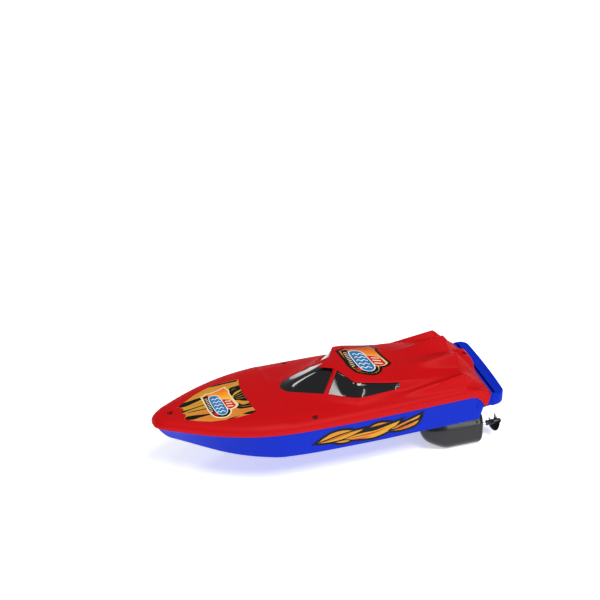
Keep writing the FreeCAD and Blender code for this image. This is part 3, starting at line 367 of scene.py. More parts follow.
def lathe(profile, steps=48, axis_point=(0, 0, 0), axis="x"):
    """A turned solid: profile is (along, radius), from end to end."""
    points = []
    for step in range(steps):
        angle = 2 * math.pi * step / steps
        for along, radius in profile:
            a, b = radius * math.cos(angle), radius * math.sin(angle)
            local = (along, a, b) if axis == "x" else (a, b, along)
            points.append(np.array(local) + np.array(axis_point))
    return np.array(points), turned_faces(steps, len(profile))


def extruded(outline, low, high, axis="z"):
    """A closed prism from a plan (z) or side-view (y) outline."""
    count = len(outline)
    if axis == "z":
        points = [(a, b, low) for a, b in outline] + [(a, b, high) for a, b in outline]
    else:
        points = [(a, low, b) for a, b in outline] + [(a, high, b) for a, b in outline]
    faces = [tuple(range(count)), tuple(range(2 * count - 1, count - 1, -1))]
    for k in range(count):
        n = (k + 1) % count
        faces.append((k, k + count, n + count, n))
    return np.array(points), faces


def box_outline(x, y):
    """A rectangle in plan."""
    return [(x[0], y[0]), (x[1], y[0]), (x[1], y[1]), (x[0], y[1])]


def rounded_outline(x, y, radius, steps=6):
    """A rectangle in plan with rounded corners."""
    points = []
    fore, aft, port, starboard = x[1] - radius, x[0] + radius, y[1] - radius, y[0] + radius
    corners = ((fore, port, 0), (aft, port, 90), (aft, starboard, 180), (fore, starboard, 270))
    for centre_x, centre_y, start in corners:
        for step in range(steps + 1):
            angle = math.radians(start + 90 * step / steps)
            points.append((centre_x + radius * math.cos(angle), centre_y + radius * math.sin(angle)))
    return points


def merged(parts):
    """Several (points, faces) as one."""
    points, faces = [], []
    for part_points, part_faces in parts:
        start = sum(len(p) for p in points)
        points.append(np.asarray(part_points, float))
        faces += [tuple(start + k for k in face) for face in part_faces]
    return np.concatenate(points), faces


def applied(obj):
    """Bakes an object's modifiers into its mesh."""
    bpy.context.view_layer.update()
    evaluated = obj.evaluated_get(bpy.context.evaluated_depsgraph_get())
    mesh = bpy.data.meshes.new_from_object(evaluated)
    obj.modifiers.clear()
    old = obj.data
    obj.data = mesh
    mesh.name = old.name
    bpy.data.meshes.remove(old)
    return obj


def boolean(obj, parts, operation, material, smooth_angle=32.0):
    """Cuts the parts away from an object, or keeps only what lies inside them."""
    cutter = new_object("cutter", *merged(parts), material, merge=0.0005)
    modifier = obj.modifiers.new("cut", "BOOLEAN")
    modifier.operation = operation
    modifier.solver = "EXACT"
    modifier.object = cutter
    applied(obj)
    bpy.data.objects.remove(cutter)
    weld(obj, 0.002, smooth_angle)
    return obj


def joined(first, others):
    """One object from several, keeping their materials."""
    bpy.ops.object.select_all(action="DESELECT")
    for obj in [first] + others:
        obj.select_set(True)
    bpy.context.view_layer.objects.active = first
    bpy.ops.object.join()
    return first


def rides(obj, body, slot, *nodes):
    """Fixes a piece to its body, and lets it stand for CAD nodes; the slot naming its finish is not used.
    """
    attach(obj, body)
    if nodes:
        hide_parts(*nodes)
    return obj


# ------------------------------------------------------------------ materials


def shader(name):
    """A new node material: returns the material, its nodes' maker, its linker and its principled node."""
    material = bpy.data.materials.new(name)
    material.use_nodes = True
    tree = material.node_tree
    principled = next(node for node in tree.nodes if node.type == "BSDF_PRINCIPLED")

    def make(kind, **values):
        node = tree.nodes.new(kind)
        for key, value in values.items():
            setattr(node, key, value)
        return node

    return material, make, tree.links.new, principled


def noise(make, link, scale, detail=4.0, stretch=None, roughness=0.5):
    """Noise over the object's own coordinates, in features per metre."""
    where = make("ShaderNodeTexCoord")
    source = where.outputs["Object"]
    if stretch:
        mapping = make("ShaderNodeMapping")
        mapping.inputs["Scale"].default_value = stretch
        link(source, mapping.inputs["Vector"])
        source = mapping.outputs["Vector"]
    texture = make("ShaderNodeTexNoise")
    texture.inputs["Scale"].default_value = scale
    texture.inputs["Detail"].default_value = detail
    texture.inputs["Roughness"].default_value = roughness
    link(source, texture.inputs["Vector"])
    return texture.outputs["Fac"]


def ranged(make, link, value, low, high):
    """A value from 0 to 1 spread between low and high."""
    node = make("ShaderNodeMapRange")
    node.inputs["To Min"].default_value = low
    node.inputs["To Max"].default_value = high
    link(value, node.inputs["Value"])
    return node.outputs["Result"]


def bumped(make, link, principled, height, strength, distance):
    """Relief in the surface from a height, distance metres deep."""
    bump = make("ShaderNodeBump")
    bump.inputs["Strength"].default_value = strength
    bump.inputs["Distance"].default_value = distance
    link(height, bump.inputs["Height"])
    link(bump.outputs["Normal"], principled.inputs["Normal"])


def varied(make, link, value, colour, dark, light):
    """A colour that drifts a little darker and lighter with value."""
    mix = make("ShaderNodeMix", data_type="RGBA")
    mix.inputs[6].default_value = tuple(c * dark for c in colour) + (1,)
    mix.inputs[7].default_value = tuple(min(c * light, 1) for c in colour) + (1,)
    link(value, mix.inputs[0])
    return mix.outputs[2]


def plastic(name, colour, rough=0.34, spread=0.06, coat=0.0, grain=900.0, relief=0.12, specular=0.5):
    """Moulded plastic: slow colour drift, faint flow marks, a fine skin and uneven gloss."""
    material, make, link, principled = shader(name)
    drift = noise(make, link, 14.0, 3.0)
    link(varied(make, link, drift, colour, 0.94, 1.06), principled.inputs["Base Color"])
    flow = noise(make, link, 40.0, 6.0, stretch=(0.25, 1.0, 1.0))
    link(ranged(make, link, flow, rough - spread, rough + spread), principled.inputs["Roughness"])
    bumped(make, link, principled, noise(make, link, grain, 3.0), relief, 0.00006)
    principled.inputs["Coat Weight"].default_value = coat
    principled.inputs["Coat Roughness"].default_value = 0.08
    principled.inputs["Specular IOR Level"].default_value = specular
    return material


def metal(name, colour, rough=0.28, stretch=(1.0, 12.0, 12.0)):
    """Drawn or turned metal: fine streaks along the piece."""
    material, make, link, principled = shader(name)
    streaks = noise(make, link, 700.0, 5.0, stretch=stretch)
    link(varied(make, link, streaks, colour, 0.82, 1.1), principled.inputs["Base Color"])
    link(ranged(make, link, streaks, rough - 0.1, rough + 0.12), principled.inputs["Roughness"])
    bumped(make, link, principled, streaks, 0.25, 0.00004)
    principled.inputs["Metallic"].default_value = 1.0
    return material


def ink(name, colours, axis=0, low=0.0, high=1.0, warp=0.0):
    """Printed film: colours run along one axis between two places, in metres, with a little mottle."""
    material, make, link, principled = shader(name)
    where = make("ShaderNodeTexCoord")
    parts = make("ShaderNodeSeparateXYZ")
    link(where.outputs["Object"], parts.inputs["Vector"])
    spread = make("ShaderNodeMapRange")
    spread.inputs["From Min"].default_value = low
    spread.inputs["From Max"].default_value = high
    link(parts.outputs[axis], spread.inputs["Value"])
    mottle = noise(make, link, 160.0, 2.0)
    shifted = make("ShaderNodeMath", operation="MULTIPLY_ADD")
    link(mottle, shifted.inputs[0])
    shifted.inputs[1].default_value = warp
    link(spread.outputs["Result"], shifted.inputs[2])
    ramp = make("ShaderNodeValToRGB")
    places = ramp.color_ramp.elements
    while len(places) < len(colours):
        places.new(0.5)
    for k, colour in enumerate(colours):
        places[k].position = k / max(len(colours) - 1, 1)
        places[k].color = tuple(colour) + (1,)
    link(shifted.outputs["Value"], ramp.inputs["Fac"])
    link(ramp.outputs["Color"], principled.inputs["Base Color"])
    link(ranged(make, link, noise(make, link, 300.0, 3.0), 0.25, 0.38),
         principled.inputs["Roughness"])
    bumped(make, link, principled, noise(make, link, 2500.0, 2.0), 0.06, 0.00003)
    principled.inputs["Specular IOR Level"].default_value = 0.08
    return material


RED = plastic("moulded_red_plastic", (0.51, 0.0022, 0.004), rough=0.5, spread=0.05, specular=0.09)
BLUE = plastic("moulded_blue_plastic", (0.0012, 0.021, 0.47), rough=0.5, spread=0.05, specular=0.07)
GLASS = plastic("smoked_window_plastic", (0.005, 0.005, 0.006), rough=0.07, spread=0.02, coat=0.35,
                relief=0.015, specular=0.35)
POD_BLACK = plastic("gloss_black_plastic", (0.007, 0.007, 0.008), rough=0.18, spread=0.04, coat=0.1,
                    relief=0.04, specular=0.4)
BLACK = plastic("satin_black_plastic", (0.006, 0.006, 0.007), rough=0.34, spread=0.05)
RUBBER = plastic("black_rubber", (0.012, 0.012, 0.013), rough=0.75, spread=0.08, relief=0.5)
STEEL = metal("ground_steel", (0.62, 0.62, 0.64), rough=0.22)
# Screw steel painted dark and faintly red for every screw: painted shade, standing in for the shade deep in
# the deck's screw wells.
WELL_SHADE_SCREW_STEEL = metal("screw_steel_painted_well_shade", (0.13, 0.10, 0.10), rough=0.42, stretch=(1, 1, 1))
CAN_STEEL = metal("plated_motor_steel", (0.56, 0.57, 0.58), rough=0.3)
BRASS = metal("turned_brass", (0.7, 0.48, 0.16), rough=0.26)
FOAM = plastic("white_foam", (0.82, 0.82, 0.78), rough=0.9, spread=0.04, grain=350.0, relief=0.8)
WRAP = plastic("battery_wrap_film", (0.03, 0.16, 0.42), rough=0.3, spread=0.08, coat=0.3)
LEAD = plastic("lead_insulation_vinyl", (0.4, 0.012, 0.012), rough=0.48)
BOARD = plastic("green_solder_mask", (0.012, 0.16, 0.05), rough=0.4, grain=1600.0, relief=0.3)
CHIP = plastic("moulded_chip_plastic", (0.014, 0.014, 0.016), rough=0.55, grain=2000.0, relief=0.3)
INK_BLACK = ink("printed_black_ink", ((0.006, 0.005, 0.005), (0.010, 0.008, 0.007)))
INK_GOLD = ink("printed_gold_ink", ((0.56, 0.28, 0.02), (0.60, 0.25, 0.03), (0.55, 0.33, 0.03),
                                    (0.62, 0.22, 0.035)), axis=1, low=-0.03, high=0.03, warp=0.5)
INK_ORANGE = ink("printed_orange_ink", ((0.66, 0.16, 0.015), (0.70, 0.22, 0.03)), warp=0.5)
INK_CREAM = ink("printed_cream_ink", ((0.86, 0.68, 0.42), (0.9, 0.78, 0.56)), warp=0.5)
INK_SUN = ink("printed_sunrise_ink", ((0.45, 0.03, 0.01), (0.85, 0.2, 0.01), (0.9, 0.5, 0.04)), axis=1,
              low=-0.022, high=0.006, warp=0.3)
INK_RED = ink("printed_red_ink", ((0.55, 0.01, 0.012), (0.62, 0.03, 0.02)), warp=0.4)
INK_WHITE = ink("printed_white_ink", ((0.82, 0.84, 0.86), (0.88, 0.88, 0.88)), warp=0.4)
INK_BLUE = ink("printed_blue_ink", ((0.015, 0.14, 0.36), (0.03, 0.22, 0.46)), warp=0.6)
INK_FLAME = ink("printed_flame_ink", ((0.60, 0.20, 0.02), (0.66, 0.33, 0.025), (0.62, 0.27, 0.02)), axis=2,
                low=0.034, high=0.054, warp=0.5)
INK_EMBER = ink("printed_ember_ink", ((0.45, 0.05, 0.01), (0.62, 0.12, 0.015)), warp=0.5)
INK_AMBER = ink("printed_amber_ink", ((0.62, 0.30, 0.03), (0.62, 0.20, 0.025)), axis=2, low=0.034,
                    high=0.054, warp=0.5)


# ------------------------------------------------------------------ camera, light, floor


def make_camera():
    """The viewing angle: a long lens off the port bow, looking down."""
    tilt, turn = math.radians(30.821), math.radians(18.041)
    across, raised, distance = 18.924, -82.2, 1379.505
    back = np.array([math.sin(turn) * math.cos(tilt), math.cos(turn) * math.cos(tilt), math.sin(tilt)])
    right = np.cross((0, 0, 1), back)
    right /= np.linalg.norm(right)
    up = np.cross(back, right)
    where = distance * back - across * right - raised * up
    data = bpy.data.cameras.new("view")
    data.sensor_width, data.lens = 36.0, 96.0
    data.clip_end = 20.0
    camera = bpy.data.objects.new("view", data)
    bpy.context.scene.collection.objects.link(camera)
    turned = Matrix((right, up, back)).transposed().to_4x4()
    camera.matrix_world = Matrix.Translation(place(where)) @ turned
    bpy.context.scene.camera = camera


SOFTBOXES = (   # name, place, what it faces, width and height, all in metres, and watts
    ("ridge_softbox", (0.31, -0.27, 0.91), (0, 0, 0.07), (0.15, 0.15), 0.85),
    ("cabin_softbox", (0.42, 0.29, 0.94), (0, 0, 0.07), (0.12, 0.12), 0.6),
    ("port_softbox", (-0.36, 0.60, 0.72), (-0.02, 0.03, 0.07), (0.16, 0.12), 0.35),
    ("low_softbox", (-0.83, 1.80, 0.60), (-0.12, 0.03, 0.03), (0.09, 1.00), 2.8),
)


def area_light(name, where, target, size, power):
    """A rectangular softbox, turned to face a point."""
    data = bpy.data.lights.new(name, "AREA")
    data.shape = "RECTANGLE"
    data.size, data.size_y = size
    data.energy = power
    light = bpy.data.objects.new(name, data)
    bpy.context.scene.collection.objects.link(light)
    light.location = where
    light.rotation_euler = (Vector(target) - Vector(where)).to_track_quat("-Z", "Y").to_euler()


def make_light():
    """A pale sky, a broad soft sun and the softboxes that gloss surfaces mirror."""
    world = bpy.data.worlds.new("studio")
    bpy.context.scene.world = world
    world.use_nodes = True
    background = next(n for n in world.node_tree.nodes if n.type == "BACKGROUND")
    background.inputs["Color"].default_value = (0.93, 0.96, 1.0, 1)
    background.inputs["Strength"].default_value = 0.32
    sun_data = bpy.data.lights.new("soft_sun", "SUN")
    sun_data.energy = 2.1
    sun_data.angle = math.radians(24)
    sun = bpy.data.objects.new("soft_sun", sun_data)
    bpy.context.scene.collection.objects.link(sun)
    sun.rotation_euler = Vector((0.14, -0.52, -0.86)).to_track_quat("-Z", "Y").to_euler()
    for softbox in SOFTBOXES:
        area_light(*softbox)


FLOOR_RADIUS, FLOOR_LEVEL_SHARE, FLOOR_RISE = 4200, 0.75, 900


def make_floor():
    """A wide pale sheet under the boat, turned up gently at its rim."""
    rings, steps = 24, 96
    points, faces = [], []
    for ring in range(rings + 1):
        share = ring / rings
        radius = FLOOR_RADIUS * share
        height = FLOOR_RISE * max(share - FLOOR_LEVEL_SHARE, 0) ** 2
        for step in range(steps):
            angle = 2 * math.pi * step / steps
            points.append((radius * math.cos(angle), radius * math.sin(angle), height))
    points = np.array(points) + np.array([0, 0, (CAD_BOX[0][2] - ORIGIN[2]) * 1000 - 0.05])
    for ring in range(rings):
        for step in range(steps):
            n = (step + 1) % steps
            faces.append((ring * steps + step, (ring + 1) * steps + step, (ring + 1) * steps + n,
                          ring * steps + n))
    material = plastic("pale_studio_sheet", (0.94, 0.945, 0.95), rough=0.8, spread=0.05, grain=300.0,
                       relief=0.03)
    glow = next(node for node in material.node_tree.nodes if node.type == "BSDF_PRINCIPLED")
    glow.inputs["Emission Color"].default_value = (1.0, 1.0, 1.0, 1.0)
    glow.inputs["Emission Strength"].default_value = 0.5
    new_object("studio_floor", points, faces, material)


# ------------------------------------------------------------------ deck


def outline_points(step_fore, step_aft):
    """The deck's plan outline, bow to stern, port side: points and outward normals."""
    bow = 149.99 - np.linspace(0, 1, 60) ** 2 * 12
    x = np.concatenate([bow, np.arange(137.9, TRANSOM_X, -0.1), [TRANSOM_X]])
    y = smooth_table(EDGE, 1, x)
    y[0] = 0.0
    length = np.concatenate([[0], np.cumsum(np.hypot(np.diff(x), np.diff(y)))])
    aft = length[np.argmin(np.abs(x + 118))]
    marks = np.concatenate([np.arange(0, aft, step_fore), np.arange(aft, length[-1], step_aft),
                            [length[-1]]])
    px, py = np.interp(marks, length, x), np.interp(marks, length, y)
    fine_tx, fine_ty = np.gradient(x, length), np.gradient(y, length)
    tx, ty = np.interp(marks, length, fine_tx), np.interp(marks, length, fine_ty)
    size = np.hypot(tx, ty)
    nx, ny = -ty / size, tx / size
    nx, ny = np.where(ny < 0, -nx, nx), np.abs(ny)
    nx[0], ny[0] = 1.0, 0.0
    return px, py, nx, ny


def deck_half_grids(columns):
    """The port half of the deck's outer and inner skins: rows bow to stern, columns centre to lip."""
    px, py, nx, ny = outline_points(1.15, 0.6)
    stern = px < -130
    nx, ny = np.where(stern, 0.0, nx), np.where(stern, 1.0, ny)
    start_x, start_y = px - LIP_ROUND * nx, np.maximum(py - LIP_ROUND * ny, 0)
    centre_x = np.where(start_x > 138, 138 + 4 * (start_x - 138) / (start_x[0] - 138), start_x)
    t = np.linspace(0, 1, columns)
    gx = centre_x[:, None] + (start_x - centre_x)[:, None] * t[None, :]
    gy = start_y[:, None] * t[None, :]
    gz = deck_z(gx, gy)
    floor = seam(px)[:, None]
    top = np.stack([gx, gy, np.maximum(gz, floor + 0.05)], -1)

    lip = []
    edge_z = np.minimum(crease(px), gz[:, -1])
    in_corner = (px < STERN_CORNER_X) & (px > CORNER_SKIRT[-1][0])
    below = np.where(in_corner, table(CORNER_SKIRT, 1, px), seam(px))
    side_out = np.where(px < -128, np.maximum(table(SKIRT_SIDE, 1, px) - py, 0), 0)
    down = np.minimum(LIP_ROUND, np.maximum(edge_z - np.maximum(below, seam(px)), 0.1) * 0.6)
    for s in (0.2, 0.4, 0.6, 0.8, 1.0):
        inward = LIP_ROUND * (1 - s) ** 2
        z = gz[:, -1] * (1 - s) ** 2 + edge_z * 2 * s * (1 - s) + (edge_z - down) * s * s
        lip.append((inward, np.maximum(z, below + 0.05), 0.0))
    for s in (0.25, 0.5, 0.75, 0.94):
        z = (edge_z - down) * (1 - s) + below * s
        z = np.minimum(z, lip[4][1])
        lip.append((0.0, z, 1.0))
    lip.append((0.3, below, 1.0))
    lip.append((WALL, below, 1.0))
    outer_lip = []
    for inward, z, low in lip:
        flare = side_out * np.clip(1.0 - z, 0, 1) * low
        x = px - inward * nx
        y = np.maximum(py + flare - inward * ny, 0)
        outer_lip.append(np.stack([x, y, z], -1))
    outer = np.concatenate([top, np.stack(outer_lip, 1)], 1)

    inner = outer.copy()
    shrink = np.clip((py - 2.2) / np.maximum(py, 0.1), 0.3, 1)
    inner[:, :columns, 1] *= shrink[:, None]
    inner[:, :columns, 0] -= np.clip((outer[:, :columns, 0] - 138) / 10, 0, 1) * 2.0
    inner[:, :columns, 2] = np.maximum(outer[:, :columns, 2] - WALL, floor + 0.4)
    for k, (inward, _, _) in enumerate(lip, columns):
        x = px - inward * nx - (WALL - inward) * nx
        y = np.maximum(outer[:, k, 1] - (WALL - inward) * ny, 0)
        z = outer[:, k, 2] - (0.3 if 0.3 < inward < WALL else 0.0)
        z = np.maximum(z - (WALL * 0.8 if k < columns + 4 else 0.0), below)
        inner[:, k] = np.stack([x, y, z], -1)
    return outer, inner


def both_sides(half):
    """A full grid, starboard lip to port lip, from its port half."""
    other = half[:, :0:-1].copy()
    other[..., 1] *= -1
    return np.concatenate([other, half], 1)


WELL_RADIUS = 2.75          # mouth of a screw well


def make_deck():
    """The red moulding, with its window openings and screw wells."""
    outer, inner = (both_sides(grid) for grid in deck_half_grids(66))
    points, faces = shell(outer, inner, ("first_column", "last_column", "last_row"))
    rows, columns = outer.shape[:2]
    tip = [start + k for start in (0, rows * columns) for k in range(columns)]
    deck = new_object("deck_moulding", points, faces, RED, merge=0.0008, only=tip)
    cutters = [extruded(WINDSCREEN, -30, 30, "y"), extruded(SIDE_WINDOW, 3, 60, "y"),
               extruded(SIDE_WINDOW, -60, -3, "y")]
    for x, y, floor in SCREWS:
        profile = ((floor - 1.4, 0), (floor - 1.4, WELL_RADIUS), (30, WELL_RADIUS), (30, 0))
        cutters.append(lathe(profile, 40, (x, y, 0), "z"))
    boolean(deck, cutters, "DIFFERENCE", RED)
    cups = [screw_cup(x, y, floor) for x, y, floor in SCREWS]
    wells = new_object("wells", *merged(cups), RED)
    return rides(joined(deck, [wells]), "boat", "deck_plastic", "deck")


def screw_cup(x, y, floor, steps=40):
    """The round well a deck screw sits in, with a softened mouth that follows the deck."""
    rings = ((WELL_RADIUS, 0.0, None), (2.62, -0.07, None), (2.48, -0.25, None), (2.4, -0.6, None),
             (2.4, None, floor + 0.4), (2.25, None, floor + 0.08), (0.0, None, floor))
    outside = ((3.3, -0.7, None), (3.3, None, floor - 1.4), (0.0, None, floor - 1.4))
    profile = rings[::-1] + outside
    points = []
    for step in range(steps):
        angle = 2 * math.pi * step / steps
        for radius, drop, height in profile:
            px, py = x + radius * math.cos(angle), y + radius * math.sin(angle)
            z = height if drop is None else float(deck_z(px, py)) + drop
            points.append((px, py, z))
    return np.array(points), turned_faces(steps, len(profile))


def pane_shell(tilt):
    """A closed sheet under the whole cabin, to cut a pane from."""
    x = np.arange(41, -63, -0.9)
    half_y = np.linspace(0, 43, 56)
    gx, gy = np.meshgrid(x, np.concatenate([-half_y[:0:-1], half_y]), indexing="ij")
    slope_x = (pane_z(gx + 0.3, gy, tilt) - pane_z(gx - 0.3, gy, tilt)) / 0.6
    slope_y = (pane_z(gx, gy + 0.3, tilt) - pane_z(gx, gy - 0.3, tilt)) / 0.6
    size = np.sqrt(1 + slope_x ** 2 + slope_y ** 2)
    normal = np.stack([-slope_x / size, -slope_y / size, 1 / size], -1)
    outer = np.stack([gx, gy, pane_z(gx, gy, tilt)], -1)
    return shell(outer, outer - 1.25 * normal, ("first_row", "last_row", "first_column", "last_column"))


def make_windows():
    """Smoked panes, a little below the deck's skin."""
    for name, outline, low, high, tilt in (("windscreen", WINDSCREEN, -30, 30, 0.07),
                                           ("side_window_port", SIDE_WINDOW, 3, 60, -0.05),
                                           ("side_window_starboard", SIDE_WINDOW, -60, -3, -0.05)):
        pane = new_object(name + "_pane", *pane_shell(tilt), GLASS)
        boolean(pane, [extruded(outline, low, high, "y")], "INTERSECT", GLASS)
        rides(pane, "boat", "smoked_window", name)


# ------------------------------------------------------------------ hull and platform


def rounded_corner(before, corner, after, cut, steps=5):
    """Points of a soft corner between two straight runs."""
    before, corner, after = (np.array(p, float) for p in (before, corner, after))
    one = corner + (before - corner) * min(cut / max(np.linalg.norm(before - corner), 1e-6), 0.45)
    two = corner + (after - corner) * min(cut / max(np.linalg.norm(after - corner), 1e-6), 0.45)
    s = np.linspace(0, 1, steps)[:, None]
    return one * (1 - s) ** 2 + corner * 2 * s * (1 - s) + two * s * s


def hull_line(x):
    """The corners of the hull's section, as (y, z): bottom pad, chine and rim."""
    pad = (float(smooth_table(PAD, 1, x)), float(smooth_table(PAD, 2, x)))
    chine = (float(smooth_table(CHINE, 1, x)), float(smooth_table(CHINE, 2, x)))
    rim = (max(float(smooth_table(EDGE, 1, x)) - HULL_INSET, 0.35), float(seam(x)))
    return pad, chine, rim


def hull_section(x, inset=0.0):
    """Half the hull's section, keel to rim, or that of its inside."""
    pad, chine, rim = hull_line(x)
    if inset:
        pad = (max(pad[0] - inset * 0.3, 0.05), pad[1] + inset)
        chine = (max(chine[0] - inset, 0.06), chine[1] + inset * 0.75)
        rim = (max(rim[0] - inset, 0.07), rim[1])
        pad, chine = (pad[0], min(pad[1], rim[1] - 0.02)), (chine[0], min(chine[1], rim[1] - 0.01))
    keel = np.array([[0.0, pad[1]]])
    flat = np.linspace((0, pad[1]), pad, 5)[1:-1]
    soft_pad = rounded_corner((0, pad[1]), pad, chine, 3.0)
    soft_chine = rounded_corner(pad, chine, rim, 1.3, 7)
    bottom = np.linspace(soft_pad[-1], soft_chine[0], 6)[1:-1]
    side = np.linspace(soft_chine[-1], rim, 10)[1:]
    flat = flat * [[min(1.0, soft_pad[0][0] / max(flat[-1][0], 1e-6)) * 0.95, 1]]
    return np.concatenate([keel, flat, soft_pad, bottom, soft_chine, side])


def raked(points):
    """The transom's rake: the last part of the hull leans forward towards the keel."""
    end = np.interp(points[..., 2], [-27, -12], [-131.5, -135])
    share = np.clip((-110 - points[..., 0]) / 25, 0, 1)
    points[..., 0] += share * (end + 135)
    return points


BAY_X, BAY_Y = (-56, 4), (-17, 17)
BAY_DEPTH = (-31.0, -10.9)
SWITCH_X, SWITCH_Y = (19.4, 28.6), (-2.2, 2.2)
SENSOR_X, SENSOR_Y, SENSOR_RADIUS = 62, 7, 1.25


def make_hull():
    """The blue moulding, with its platform and the battery bay's walls."""
    stations = np.concatenate([149.0 - np.linspace(0, 1, 14) ** 1.6 * 9, np.arange(138.5, -133.5, -2.5),
                               [-134.0, -134.6, -135.0]])
    outer, inner = [], []
    for x in stations:
        section = hull_section(x)
        tuck = max(0.0, (-134.0 - x)) ** 2 * 0.7
        section[:, 0] = np.maximum(section[:, 0] - tuck * (section[:, 0] > 5), 0)
        outer.append([(x, y, z) for y, z in section])
        core = hull_section(min(x, 145.0), WALL)
        inner.append([(max(min(x, 145.0), -132.8), y, z) for y, z in core])
    outer, inner = raked(both_sides(np.array(outer))), raked(both_sides(np.array(inner)))
    points, faces = shell(outer, inner, ("first_column", "last_column"))
    rows, columns = outer.shape[:2]
    faces += end_faces(rows, columns) + end_faces(rows, columns, rows * columns)
    hull = new_object("hull_moulding", points, faces, BLUE, merge=0.003, smooth_angle=40)
    cutters = [extruded(rounded_outline(BAY_X, BAY_Y, 1.0), -33, -20),
               extruded(rounded_outline(SWITCH_X, SWITCH_Y, 0.8), -33, -27)]
    sensor_hole = ((-34, 0), (-34, SENSOR_RADIUS), (-24, SENSOR_RADIUS), (-24, 0))
    for y in (-SENSOR_Y, SENSOR_Y):
        cutters.append(lathe(sensor_hole, 24, (SENSOR_X, y, 0), "z"))
    boolean(hull, cutters, "DIFFERENCE", BLUE, 40)
    platform = new_object("platform", *platform_mesh(), BLUE)
    bay = new_object("bay", *extruded(box_outline((-57.6, 5.6), (-18.6, 18.6)), *BAY_DEPTH), BLUE)
    door_seat = extruded(rounded_outline(BAY_X, BAY_Y, 1.0), -32, -28.7)
    boolean(bay, [door_seat], "DIFFERENCE", BLUE)
    cell_space = extruded(rounded_outline((-53, 1), (-14.8, 14.8), 1.5), -32, -12.5)
    boolean(bay, [cell_space], "DIFFERENCE", BLUE)
    return rides(joined(hull, [platform, bay]), "boat", "hull_plastic", "hull")


PLATFORM_TUCKED, PLATFORM_HALF = 42.6, 44.2
PLATFORM_FLARE = (-139.4, -142.0)
PLATFORM_CORNER = 7.5
PLATFORM_SIDE_END, PLATFORM_STERN = -153.0, -154.0
PLATFORM_UNDERSIDE = ((-128, -13.5), (-134, -13.5), (-149, -10.9), (-160, -10.0))
PLATFORM_GROOVE = ((2.9, -0.1), (3.2, -0.3), (3.5, -0.35), (3.8, -0.3), (4.1, -0.1), (4.6, -0.05))


def platform_outline():
    """Plan of the swim platform, starboard front corner round the stern to the port one."""
    half, r = PLATFORM_HALF, PLATFORM_CORNER
    side_end, middle = PLATFORM_SIDE_END, PLATFORM_STERN
    points = [(x, PLATFORM_TUCKED) for x in np.linspace(-128, PLATFORM_FLARE[0], 8)]
    for share in np.linspace(0, 1, 8)[1:]:
        x = PLATFORM_FLARE[0] + (PLATFORM_FLARE[1] - PLATFORM_FLARE[0]) * share
        points.append((x, PLATFORM_TUCKED + (half - PLATFORM_TUCKED) * share * share * (3 - 2 * share)))
    points += [(x, half) for x in np.linspace(PLATFORM_FLARE[1], side_end + r, 4)[1:]]
    for angle in np.linspace(0, 90, 12)[1:]:
        a = math.radians(angle)
        points.append((side_end + r - r * math.sin(a), half - r + r * math.cos(a)))
    for y in np.linspace(half - r, 0, 14)[1:]:
        points.append((middle + (side_end - middle) * (y / (half - r)) ** 2, y))
    port = np.array(points)
    other = port[-2::-1].copy()
    other[:, 1] *= -1
    return np.concatenate([port, other])


def inset(outline, distance):
    """An open outline moved inwards; its ends stay on their lines."""
    tangent = np.gradient(outline, axis=0)
    tangent /= np.linalg.norm(tangent, axis=1)[:, None]
    inward = np.stack([-tangent[:, 1], tangent[:, 0]], -1)
    return outline + inward * distance


def platform_mesh():
    """A closed slab: rings of points at (distance inwards, height), from underside to top."""
    outline = platform_outline()
    fade = np.clip((-143.0 - outline[:, 0]) / 3.0, 0, 1)
    under = table(PLATFORM_UNDERSIDE, 1, outline[:, 0])
    level = np.zeros(len(outline))
    rings = [(2.5, under), (0.7, under), (0.2, under + 0.25), (0.0, under + 0.8), (0.0, under * 0.5),
             (0.0, level - 1.0), (0.15, level - 0.45), (0.5, level - 0.1), (1.0, level), (2.5, level)]
    rings += [(distance, depth * fade) for distance, depth in PLATFORM_GROOVE]
    grid = [np.column_stack([inset(outline, distance), height]) for distance, height in rings]
    return capped(np.array(grid))


# ------------------------------------------------------------------ pods and propellers


POD_SHOULDER = ((1.0, -24.0), (1.0, -27.6), (0.93, -29.0), (0.74, -30.4), (0.47, -32.0), (0.2, -34.2),
                (0.05, -36.6), (0.0, -39.0))


def corners_cut(chain):
    """An open run with each of its corners cut, and its ends kept."""
    near, far = chain[:-1] * 0.75 + chain[1:] * 0.25, chain[:-1] * 0.25 + chain[1:] * 0.75
    return np.concatenate([chain[:1], np.stack([near, far], 1).reshape(-1, 2), chain[-1:]])


def pod_half(width, belly, top):
    """Half a pod's section, top to belly: it leans in towards the hull and has a full belly."""
    bend = belly + width
    lean = min(4.3, width * 0.47)
    side = [(width - lean * share, max(min(z, top), bend)) for share, z in POD_SHOULDER]
    arc = [(width * math.cos(a) ** 0.86, bend - width * math.sin(a) ** 0.86)
           for a in np.linspace(0, math.pi / 2, 18)]
    chain = np.array([(width - lean - 1.0, top)] + side + arc)
    chain = corners_cut(corners_cut(chain))
    length = np.concatenate([[0], np.cumsum(np.linalg.norm(np.diff(chain, axis=0), axis=1))])
    marks = np.linspace(0, length[-1], 34)
    y, z = np.interp(marks, length, chain[:, 0]), np.interp(marks, length, chain[:, 1])
    return np.column_stack([y, np.maximum(z, BELLY_Z)])


def pod_grid(stations, rows, offset):
    """Rings of a pod along its length; its roof runs up into the hull except at the stern."""
    grid = []
    for x in stations:
        width = float(smooth_table(rows, 1, x))
        belly = float(smooth_table(rows, 2, x))
        half = pod_half(max(width, 0.1), belly, POD_ROOF_IN_HULL if x > -130.9 else POD_ROOF)
        ring = np.concatenate([half, (half * [-1, 1])[-2::-1]])
        grid.append([(x, y + offset, z) for y, z in ring])
    return np.array(grid)


